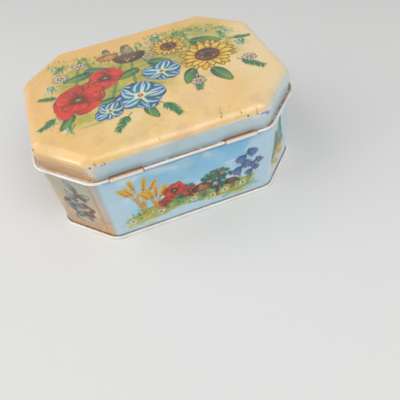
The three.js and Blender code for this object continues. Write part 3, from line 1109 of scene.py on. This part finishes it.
def nearGrass(face, m, half, seed):
    scatterGrass(face, m - half, m + half, ridge(8.5, 1.5, 8), 110, seed, 2.8,
                 ("meadowPale", "grass", "leaf", "yellow"))


def poppyRow(face, m, foot, flowers):
    for x, y, size, seed in flowers:
        stem(face, [(m + x + foot, 10), (m + x + 1.2, y * 0.6 + 4), (m + x, y)], 0.6)
        poppy(face, m + x, y, size, seed)


def paintWalls(face, middles, length):
    u, v = face.u, face.v

    def fromMiddle(name, shift=0.0):
        return (u - middles[sides[name]] - shift + length / 2) % length - length / 2

    face.wash(0.75 * face.patches(19, 13, 0.25, 0.6, 1.6) * smooth(16, 40, v), "skyDeep")
    face.wash(0.5 * face.patches(walls["skySize"], 11, 0.45, 0.7, 1.8), "skyPale")
    face.wash(0.6 * face.patches(13, 14, 0.55, 0.75, 2.2), "cloud")
    face.wash(0.8 * smooth(18, 5, v), "skyPale")
    for name, wide in (("back", 42), ("front", 42), ("rightEnd", 26)):
        w = np.abs(fromMiddle(name))
        face.wash(0.85 * smooth(wide - 12, wide - 5, w) * smooth(wide + 3, wide, w), "mist")
    for name in ("backRightCorner", "frontRightCorner"):
        face.wash(0.6 * smooth(17, 13, np.abs(fromMiddle(name))), "skyPale")
    # the tan of the left cut corners and the left end is a little darker than their print: partly painted
    # shade
    for name, wide in (("backLeftCorner", 15.2), ("frontLeftCorner", 15.2), ("leftEnd", 27)):
        cover = smooth(wide + 2.2, wide - 1.2, np.abs(fromMiddle(name)))
        face.wash(cover, "tan")
        face.wash(0.5 * cover * face.patches(15, 15, 0.5, 0.7), "cream")
        face.wash(0.5 * cover * face.patches(11, 16, 0.5, 0.72) * smooth(26, 6, v), "tanDark")
        face.wash(0.4 * cover * smooth(20, 38, v), "slate")
    for name, side in (("backLeftCorner", 1), ("frontLeftCorner", -1)):
        w = fromMiddle(name, side * walls["lineFromMiddle"])
        for strength, far, near, shift, tint in (
                (0.5, 2.6, 1.2, -1.8, "lilac"), (0.55, 1.3, 0.4, 0, "tanDark"),
                (0.5, 0.35, 0.1, 0.5, "rust")):
            face.wash(strength * smooth(far, near, np.abs(w + shift * side)), tint)
        face.wash(0.6 * smooth(5.0, 0.4, np.abs(w)) * smooth(14, 3, v), "orange")
        face.wash(0.35 * smooth(16, 8, np.abs(fromMiddle(name))) * smooth(7, 2, v), "orange")
    for seed, (name, half) in enumerate(walls["meadowHalf"].items(), 21):
        w = fromMiddle(name)
        noise = 4.0 * (mottle(u, v * 1.5, 9, seed) - 0.5)
        top = walls["meadowHigh"] + 2.5 * np.sin(w / 9 + seed) + noise
        low = walls["meadowLow"] + 1.5 * np.sin(w / 7 + seed) + noise
        cover = smooth(half + 2, half - 8, np.abs(w))
        cover = cover * smooth(top + 1.2, top - 1.2, v) * smooth(low - 1.5, low + 1.8, v)
        face.wash(0.85 * cover, "meadow")
        face.wash(0.75 * cover * face.patches(8, seed + 30, 0.45, 0.65, 2), "grass")
        face.wash(0.5 * cover * face.patches(5, seed + 60, 0.55, 0.7, 2), "teal")
    # painted shadow: a darker blue band on the back wall just under the lid's curl and the tabs
    face.wash(0.55 * smooth(38.6, 40.8, v) * smooth(40, 36, np.abs(fromMiddle("back"))), "blue")

    m, half = middles[sides["back"]], walls["meadowHalf"]["back"]
    longMeadow(face, m, half, 30)
    for x, y, size, seed in walls["backWheat"]:
        wheat(face, m + x, y, size, seed)
    bush(face, m - 3, 18, 12, 9, 38, "leafDark", "teal")
    poppyRow(face, m, 0.5, walls["backPoppies"])
    bush(face, m + 14, 19, 16, 14, 37, "tealDark", "leaf", "pink")
    face.stroke([(m + 13.5, 8), (m + 14.2, 11), (m + 13.8, 14)], 2.2, "brownDark", 1, 1.5)
    for x, y, size, seed in walls["backBellflowers"]:
        bellflower(face, m + x, y, size, seed)
    toadstool(face, m + 6, 9.5, 9.5, 40, "rust")
    toadstool(face, m + 22, 9, 7, 41)
    nearGrass(face, m, half, 42)
    for n, x in enumerate(walls["backDaisies"]):
        daisy(face, m + x, 8.2 + (n % 3), 4.2, 43 + n, root="yellowPale" if n % 2 else "white")

    m, half = middles[sides["front"]], walls["meadowHalf"]["front"]
    longMeadow(face, m, half, 50)
    for x, y, size, seed in walls["frontSunflowers"]:
        stem(face, [(m + x - 1, 9), (m + x + 1, y * 0.6 + 3), (m + x, y)], 0.7)
        for side, turn in ((0.62, 0.5), (0.52, 2.5)):
            leafBlade(face, m + x - 0.5, y * side, turn, 7, 3, seed + 5)
        sunflower(face, m + x, y, size, seed)
    bush(face, m - 22, 22, 20, 17, 56, "leafDark", "grass", "red")
    face.stroke([(m - 22.5, 8), (m - 22, 12), (m - 21.6, 17)], 2.6, "brownDark", 1, 1.7)
    for x, y, size, seed in walls["frontBindweeds"]:
        bindweed(face, m + x, y, size, seed)
    nearGrass(face, m, half, 60)

    m, half = middles[sides["rightEnd"]], walls["meadowHalf"]["rightEnd"]
    brushWork(face, m - half, m + half, ridge(10, 2, 7), 2.4, 60, 70, walls["meadowTints"], 9, 1.7, 0.5)
    scatterGrass(face, m - half, m + half, ridge(10, 1.5, 8), 80, 71)
    conifer(face, m - 11, 12, 14, 25, 72)
    poppyRow(face, m, 0, walls["rightPoppies"])
    toadstool(face, m - 2, 9, 9, 75, "orange", "rust")

    m = middles[sides["leftEnd"]]
    berrySprig(face, m - 12, 21, 24, 81)
    berrySprig(face, m + 11, 22, 26, 82, "redDark", ("leafDark", "leaf"))
    toadstool(face, m, 9, 11, 83)
    for x in (-5, 6):
        tuft(face, m + x, 8, 6, 84 + x)

    m = middles[sides["backLeftCorner"]] - 1
    for points in (((4, 9), (-1, 20), (-5, 34)), ((2, 10), (-3, 20), (-8, 30)), ((-3, 6), (-5, 9), (-8, 12))):
        face.stroke([(m + x, y) for x, y in points], 0.7, "tealDark", 0.85, 0.25)
    berrySprig(face, m, 20, 25, 91, "maroon", ("tealDark", "slate"), "brownDark", 0.3)
    toadstool(face, m + 4, 9, 7, 97, "maroon", "brownDark", "slate")
    m = middles[sides["backRightCorner"]]
    patch = smooth(10, 6, np.abs(fromMiddle("backRightCorner", -2))) * smooth(6, 9, v) * smooth(20, 14, v)
    face.wash(0.8 * patch * face.patches(7, 12, 0.35, 0.6), "yellow")
    conifer(face, m - 5.5, 14, 12, 16, 90)
    conifer(face, m, 15, 14, 22, 92)
    for n, (x, y) in enumerate(walls["cornerDaisies"]):
        daisy(face, m + x, y, 5.6, 93 + n, root="orange", tip="yellow", heart="rust")
    tuft(face, m - 2, 6, 5, 99, 9)
    m = middles[sides["frontRightCorner"]]
    wheat(face, m, 11, 24, 101)
    poppy(face, m + 3, 14, 9, 102)
    m = middles[sides["frontLeftCorner"]]
    toadstool(face, m - 2, 12, 15, 103)
    tuft(face, m + 5, 11, 7, 104)


def makeWalls():
    inset, turnSteps = walls["neckInset"], 4
    shoulderBend = inset / 2
    shoulderOut = -halfSheet - shoulderBend
    shoulder = shoulderHeight - halfSheet
    flangeBend = halfSheet + tin["gap"]
    hem = walls["hem"] / 2 - halfSheet
    hemHeight = shoulderHeight + walls["neckHeight"] - walls["hem"] / 2
    middle, kept, marks = sheetMiddle((tin["rimReach"] - tin["sheet"] - tin["gap"], rimHeight / 2), [
        arc(flangeBend - halfSheet, rimHeight / 2 + flangeBend, flangeBend, -quarterTurn, -quarterTurn,
            turnSteps),
        arc(shoulderOut, shoulder - shoulderBend, shoulderBend, 0, quarterTurn, turnSteps,
            lead=tin["printStep"], coarse=True),
        arc(shoulderOut, shoulder + shoulderBend, shoulderBend, -quarterTurn, -quarterTurn, turnSteps),
        arc(-inset - halfSheet - hem, hemHeight, hem, 0, walls["hemTurn"] * halfTurn, 12,
            lead=walls["neckStep"]),
    ])
    half = hinge["tabLength"] / 2
    grooveAt = walls["seamFromMiddle"] - walls["seamWidth"] / 2
    foldEnd = walls["seamFromMiddle"] + walls["seamWidth"] / 2
    seamEnds = [grooveAt - walls["seamGroove"] / 2, grooveAt, grooveAt + walls["seamGroove"] / 2,
                grooveAt + tin["sheet"] * 1.5, foldEnd - tin["sheet"], foldEnd]
    stations, middles, length = walkRound(tin["printStep"], tin["bendSteps"],
                                          {sides["back"]: tabEnds(half), sides["rightEnd"]: seamEnds})
    sheet = SheetMesh()
    sheet.sweep(stations, middle, kept, "right", cut=(half, marks[2], None))
    roll, keptRoll, _ = sheetMiddle((-inset, curlHeight - tabRadius), [
        arc(hinge["reach"], curlHeight, tabRadius, -quarterTurn, hinge["tabTurn"] * halfTurn, 24, lead=0.6),
    ])
    runs = sectionRun(middle)
    for m in tabPlaces:
        on = (stations[:, 4] == sides["back"]) & (np.abs(stations[:, 5] - m) < half + nudge)
        sheet.sweep(stations[on], roll, keptRoll, "right", ringed=False, runFrom=runs[-1], paintedFrom=0)
    points, (_, _, walked, run, onPrint) = sheet.finish()
    foot = marks[0] + turnSteps
    height = run - runs[foot] + middle[foot, 1]
    outside, rolled = onPrint > 0.5, run >= runs[-1]

    # the lock seam: a fold inside the end wall, and a groove outside
    fromEnd = walked - middles[sides["rightEnd"]]
    upright = height > rimHeight + walls["seamFromRim"]
    upright &= height < shoulderHeight - walls["seamFromShoulder"]
    folded = np.interp(fromEnd, [grooveAt, grooveAt + tin["sheet"], foldEnd - tin["sheet"], foldEnd],
                       [0, 2 * tin["sheet"], 2 * tin["sheet"], 0])
    groove = np.clip(walls["seamGroove"] / 2 - np.abs(fromEnd - grooveAt), 0, None)
    points[:, 0] += np.where(upright, np.where(outside, groove, folded), 0)

    # slight waves of the hand-worn sheet, only inwards
    wave = walls["waves"] * mottle(walked, height, 30, 5) * smooth(3, 10, height) * smooth(40, 32, height)
    away = np.c_[points[:, 0], points[:, 1] - middleY]
    corner = np.abs(away) / (halfLength, halfWidth)
    side = np.where((corner[:, 0] > corner[:, 1])[:, None], (1.0, 0.0), (0.0, 1.0)) * np.sign(away)
    points[:, :2] -= side * wave[:, None]

    face = PrintedFace(walked, height, "sky")
    paintWalls(face, middles, length)
    face.wash(smooth(41.2, 41.6, height), "paleCream")
    face.wash(rolled * 1.0, "white")
    # the upper side of each tab goes tan, then rust: rust, and painted shade under the slot
    share = (run - runs[-1] - sectionRun(roll)[-1]) / (hinge["tabTurn"] * halfTurn * tabRadius) + 1
    face.wash(rolled * 0.9 * smooth(0.46, 0.60, share), "tan")
    face.wash(rolled * 0.9 * smooth(0.58, 0.68, share), "rust")

    above = height - (shoulderHeight - 0.5)
    rub = smooth(0.45, 0.8, mottle(walked * 3, height * 0.6, 4, 44))
    worn = face.patches(21, 48, 0.35, 0.7) * smooth(6.2, 7.4, above)
    bare = np.where((above > 0.4) & ~rolled, walls["neckRub"] * rub + walls["neckWear"] * worn, 0)
    bare += walls["footWear"] * face.patches(5, 45, 0.6, 0.9) * smooth(2.6, 1.4, height)
    rust = walls["rust"] * face.patches(11, 46, 0.6, 0.8) * (smooth(6, 2, height) + smooth(36, 41, height))
    # darker at the foot of the walls, just above the rim: dirt and painted shade
    dirt = walls["footDirtAndShade"] * smooth(2.0, 1.6, height)
    dirt += walls["dirt"] * face.patches(12, 47, 0.62, 0.8) * smooth(30, 4, height)
    for m in tabPlaces:
        w = np.abs(walked - middles[sides["back"]] - m)
        beside = smooth(half + 2.2, half, w) * smooth(half - 1.6, half, w)
        rust += walls["tabRust"][0] * beside * smooth(39, 41, height)
        rust += walls["tabRust"][1] * rolled * smooth(half - 0.6, half, w)
        dirt += walls["tabDirt"] * (rolled & (w < half + 0.1)) * smooth(half - 0.7, half - 0.2, w)
    piece = sheet.build("wallSheet", points, "body_wall", printedOutside, print=linear(face.tint),
                        age=np.clip(np.c_[bare, rust, dirt], 0, 1))
    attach(piece, "tin_body")
    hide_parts("body_wall")


makeWalls()


# Lid: a drawn sheet with a round edge, a skirt, a flange and a curl, and slots for the hinge tabs

lid = {
    "edgeRadius": 5.0,
    "skirtInset": 0.3,
    "skirtBend": 0.45,
    "topStep": 0.44,
    "wallStep": 0.62,        # length of a face round the walls
    "shoulderFall": 0.3,     # how far the top dips before its round edge
    "waves": (0.30, 0.10),   # depths of the wide and the narrow dents of the top
    "slotEndGap": 0.5,
    "slotRise": 0.5,         # up the skirt
    "edgeWear": 0.30,        # along the round edge, then at its corners and on the curl
    "cornerWear": 0.35,
    "curlWear": 0.16,
    "chipShow": 0.75,
    "rust": 0.14,
    "cornerRust": 0.22,
    "grooveRust": 0.12,      # in the groove above the curl
    "slotRust": 0.40,
    # darker in the groove above the curl, where the skirt meets the flange: dirt and painted shade
    "grooveDirtAndShade": 0.95,
    "dirt": 0.12,
    # the plants: place, size, seed
    "poppies": ((38, 4, 27, 1), (22, -8, 20, 2)),
    "bindweeds": ((9, 15, 25, 3), (-6, 0, 20, 4), (25, 20, 15, 5)),
    "sunflowers": ((-32, -3, 31, 6), (-16, -21, 21, 7)),
    "toadstools": ((6, -34, 17, 8, "brown", "brownDark", "grey"),
                   (17, -35, 11, 9, "orange", "rust", "paleCream")),
    "daisies": ((44, -19, 9, 10), (-50, 10, 8, 11), (-20, 17, 8, 12), (33, -26, 8, 13), (-3, -17, 7, 14)),
    # where the stems of a kind come from, and how wide they are
    "stems": {"poppies": (30, -31, 0.9), "bindweeds": (2, -29, 0.9), "sunflowers": (-26, -33, 1.3)},
    # place, height
    "tufts": ((-47, -22, 9), (-38, -30, 8), (-24, -33, 8), (30, -33, 7), (44, -30, 9), (50, -14, 8),
              (52, 14, 8), (44, 22, 8), (-12, -34, 8), (-52, -8, 7), (32, 8, 9)),
    # place, angle, length, and for a leaf its width
    "sprays": ((-44, 8, 2.2, 17), (-22, 10, 1.3, 16), (16, 26, 0.9, 15), (2, 24, 2.0, 16), (49, 12, 0.6, 13),
               (46, -2, -0.3, 12), (-48, -12, 3.0, 12)),
    "leaves": ((-28, -20, 2.7, 17, 8), (-20, -24, 0.4, 13, 6), (28, -16, 0.2, 15, 6), (31, -20, 2.6, 14, 6),
               (-2, -12, 2.6, 12, 6), (4, -8, 0.3, 13, 6), (12, 4, 2.4, 11, 5), (-30, 10, 1.9, 15, 7),
               (-22, 6, 0.7, 13, 6), (20, 12, 0.1, 11, 5), (42, 14, 1.1, 12, 5), (8, 24, 1.6, 11, 5)),
    # chips: place, size
    "chips": ((-20.3, 46.9, 0.6), (-29.6, 48.0, 0.6), (-32.2, 50.0, 0.7), (-36.7, 50.7, 0.6),
              (-34.6, 51.0, 0.4), (41.9, 50.9, 0.8), (36.1, 51.5, 0.6), (34.7, 51.1, 0.9), (51.7, 40.1, 0.5),
              (64.4, 27.6, 1.1), (-60.9, 33.0, 0.5), (12.0, 49.5, 0.4), (-58.0, -30.0, 0.7),
              (57.0, -33.0, 0.8), (2.0, -50.0, 0.6)),
    # scratches: place, length, lean
    "scratches": ((-20.4, 46.6, 5.5, -0.25), (-29.5, 48.0, 2.2, -0.1), (-36.6, 50.6, 3.5, -0.1),
                  (34.8, 50.8, 1.8, 0.3), (-26.0, 43.5, 1.6, 0.2), (38.5, 51.0, 1.6, 0.1),
                  (9.0, 48.0, 2.0, 0.15)),
}


def toward(facing, *names):
    return facing[:, [sides[name] for name in names]].sum(axis=1)


def paintLid(face, beyond, facing):
    # beyond: how far past the flat top, along the sheet; facing: how much each of the eight sides counts
    u, v = face.u, face.v
    for strength, size, seed, low, high, stretch, tint in (
            (0.6, 30, 101, 0.45, 0.7, 1, "peach"), (0.5, 22, 102, 0.5, 0.7, 1, "paleCream"),
            (0.22, 9, 97, 0.5, 0.72, 1, "pink"), (0.13, 12, 98, 0.48, 0.66, 1.3, "meadow"),
            (0.10, 6, 99, 0.55, 0.75, 1, "tanDark")):
        face.wash(strength * face.patches(size, seed, low, high, stretch), tint)
    # painted light: paler cream toward the right, where less lamp light falls, and peach toward the left,
    # where more falls; the honey toward the front is print
    for strength, low, high, way, tint in ((0.8, -24, -50, u, "paleCream"), (0.6, 24, 48, u, "peach"),
                                           (0.75, -16, -38, v, "honey")):
        face.wash(strength * smooth(low, high, way), tint)
    noise = mottle(u, v, 14, 103) - 0.5
    roll = v - (-11 + 7 * np.sin(u / 17 + 0.4)) + 16 * noise
    band = smooth(27, 13, np.abs(roll)) * smooth(54, 42, np.abs(u + 1))
    rise = (v - 6 - 0.42 * (u - 10)) + 14 * noise
    arm = smooth(17, 6, np.abs(rise)) * smooth(-12, 6, u) * smooth(50, 38, u)
    field = np.maximum(band, 0.9 * arm)
    face.wash(0.8 * field * face.patches(17, 107, 0.25, 0.5, 1.3), "meadowPale")
    face.wash(0.8 * smooth(0.4, 1, field) * face.patches(12, 104, 0.45, 0.62, 1.4), "meadow")
    face.wash(0.5 * smooth(0.5, 1, field) * face.patches(8, 105, 0.5, 0.66, 1.6), "grass")
    brushWork(face, -50, 50, ridge(-12, 7, 17, 0.4), 9, 110, 108,
              ("meadow", "grass", "meadowPale", "leaf", "slate"), 15, 2.4, 0.38)
    brushWork(face, 0, 50, lambda x: 6 + 0.42 * (x - 10), 6, 40, 109, ("meadow", "grass", "leaf"),
              12, 2.0, 0.38)

    scatterGrass(face, -50, 50, ridge(-30, 5, 12), 170, 106, 4.5)
    for n, place in enumerate(lid["tufts"], 110):
        tuft(face, *place, n, 16)
    for n, place in enumerate(lid["sprays"], 130):
        spray(face, *place, n)
    for kind, (footX, footY, wide) in lid["stems"].items():
        for x, y, _, _ in lid[kind]:
            run = x - footX
            stem(face, [(footX + run * 0.2, footY), (footX + run * 0.5 + 3, (y + footY) / 2), (x, y)], wide)
    for place in lid["toadstools"]:
        toadstool(face, *place)
    for n, place in enumerate(lid["leaves"], 150):
        leafBlade(face, *place, n)
    flowers = {"bindweeds": bindweed, "poppies": poppy, "sunflowers": sunflower, "daisies": daisy}
    for kind, flower in flowers.items():
        for x, y, size, seed in lid[kind]:
            flower(face, x, y, size, seed + 160)
    scatterGrass(face, -46, 48, ridge(-34, 4, 10), 140, 180, 3.6,
                 ("meadowPale", "grass", "leafDark", "yellow"))

    cool = toward(facing, "back", "backRightCorner", "rightEnd", "frontRightCorner", "front")
    hazy = toward(facing, "backRightCorner", "rightEnd")
    warm = 1 - cool
    # line: a thin band along the crest of the round edge, where the white below paints a highlight
    line = smooth(0.55, 0.15, np.abs(beyond - 7.0))
    corner = 4 * facing[:, sides["backLeftCorner"]] * facing[:, sides["back"]]
    for cover, tint in (
            (cool * smooth(6.3 - 5.5 * hazy, 8.3, beyond), "haze"),
            # painted highlight: a white line along the crest on the back and right
            (0.7 * cool * line * face.patches(16, 194, 0.4, 0.6), "white"),
            (0.3 * cool * smooth(7, 9, beyond) * face.patches(18, 191, 0.4, 0.65), "sky"),
            (0.8 * warm * smooth(6.8, 8.8, beyond), "amber"),
            (warm * smooth(9.4, 11.6, beyond), "rose"),
            (0.8 * warm * smooth(11.5, 14, beyond) * face.patches(12, 192, 0.3, 0.6), "amber"),
            (0.5 * warm * smooth(6, 9, beyond) * face.patches(15, 196, 0.45, 0.65), "amber"),
            # white dabs on the skirt's bend at the back left corner: scuffs, and a painted highlight on the
            # bend
            (0.6 * corner * smooth(5, 7, beyond) * face.patches(2.5, 195, 0.35, 0.6), "white"),
            (smooth(15.6, 16.4, beyond), "white"),
            (0.25 * smooth(16, 17, beyond) * face.patches(9, 193, 0.5, 0.7), "pink")):
        face.wash(cover, tint)
    for x, y, length, lean in lid["scratches"]:
        face.stroke([(x, y), (x + lean * length / 2 + 0.3, y - length / 2), (x + lean * length, y - length)],
                    0.45, "brown", 0.6, 0.15)
    # violet and white smears on the crest at the back right: smears, and a painted highlight there
    face.stroke([(-38.6, 51.8), (-41, 51.2), (-43.6, 51.6)], 1.5, "violet", 0.75, 2.2)
    face.stroke([(-34, 52.3), (-37.5, 52.4), (-41.5, 52.2)], 0.7, "white", 0.9, 0.9)


def makeLid():
    skirt = -lid["skirtInset"] - halfSheet
    edge = lid["edgeRadius"] - halfSheet
    bend = lid["skirtBend"]
    flangeTop = curlHeight - hinge["curl"] / 2 + tin["sheet"]
    roll = hinge["curl"] / 2 - halfSheet
    flange, bendSteps = flangeTop - halfSheet, 4
    middle, kept, marks = sheetMiddle((skirt - lid["edgeRadius"], lidHeight - halfSheet), [
        arc(skirt - edge, lidHeight - lid["edgeRadius"], edge, quarterTurn, -quarterTurn, 14, keepEvery=3),
        lineTo(skirt, flangeTop + lid["slotRise"], lead=lid["wallStep"], coarse=True),
        arc(skirt + bend, flange + bend, bend, -halfTurn, quarterTurn, bendSteps, lead=0.5),
        arc(hinge["reach"], curlHeight, roll, -quarterTurn, hinge["curlTurn"] * halfTurn, 14, lead=1.2,
            keepEvery=2),
    ])
    half = hinge["tabLength"] / 2 + lid["slotEndGap"]
    stations, _, _ = walkRound(lid["wallStep"], tin["bendSteps"], {sides["back"]: tabEnds(half)})
    sheet = SheetMesh()
    starts = sheet.sweep(stations, middle, kept, "left", capped=True, cut=(half, marks[1], marks[3]),
                         paintedFrom=marks[3])
    sheet.fill(starts["left"], lid["topStep"], "painted", True)
    sheet.fill(starts["right"], tin["panelStep"], "plain", False)
    points, (u, v, _, run, onPrint) = sheet.finish()
    turns = (np.arange(8) + 1) * eighthTurn
    reach = np.array([halfSlant, halfWidth, halfSlant, halfLength] * 2)
    past = np.outer(u, np.cos(turns)) + np.outer(v, np.sin(turns)) - reach
    facing = np.exp(past / 1.2 - (past / 1.2).max(axis=1)[:, None])
    facing /= facing.sum(axis=1)[:, None]
    beyond = np.where(run >= 0, run, past.max(axis=1) - middle[0, 0])

    face = PrintedFace(u, v, "cream")
    paintLid(face, beyond, facing)

    crest = np.exp(-((beyond - 4.0) / 2.6) ** 2)
    corners = 1 - facing.max(axis=1)
    bare = crest * (lid["edgeWear"] * face.patches(6, 201, 0.6, 0.85) + lid["cornerWear"] * corners)
    bare += lid["curlWear"] * smooth(19.0, 19.6, run) * face.patches(7, 202, 0.55, 0.85)
    for x, y, size in lid["chips"]:
        bare = np.maximum(bare, lid["chipShow"] * np.exp(-((u - x) ** 2 + (v - y) ** 2) / size ** 2))
    flangeRun = sectionRun(middle)[marks[2] + bendSteps]
    inGroove = smooth(flangeRun - 0.7, flangeRun - 0.3, run) * smooth(flangeRun + 0.95, flangeRun + 0.5, run)
    inGroove *= (onPrint > 0.5) * (1 - 0.5 * toward(facing, "backLeftCorner", "leftEnd", "frontLeftCorner"))
    nearSlot = np.max([smooth(half + 1.6, half + 0.3, np.abs(u + x)) for x in tabPlaces], axis=0)
    nearSlot *= facing[:, sides["back"]]
    rust = lid["rust"] * face.patches(9, 203, 0.6, 0.85) + lid["cornerRust"] * crest * corners
    rust += lid["grooveRust"] * inGroove + lid["slotRust"] * nearSlot * smooth(14.2, 15.2, run)
    # the groove above the curl darkened: dirt and painted shade
    dirt = lid["grooveDirtAndShade"] * inGroove + lid["dirt"] * face.patches(12, 204, 0.6, 0.8)

    top = smooth(12, 2, np.maximum(beyond, 0))
    sink = lid["waves"][0] * mottle(u, v, 40, 205) + lid["waves"][1] * mottle(u, v, 14, 206)
    sink += lid["shoulderFall"] * smooth(-9, 0, beyond)
    points[:, 2] -= sink * top * smooth(lidHeight - 9, lidHeight - 1, points[:, 2])
    piece = sheet.build("lidSheet", points, "lid", printedOutside, print=linear(face.tint),
                        age=np.clip(np.c_[bare, rust, dirt], 0, 1))
    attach(piece, "tin_lid")
    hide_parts("lid")


makeLid()
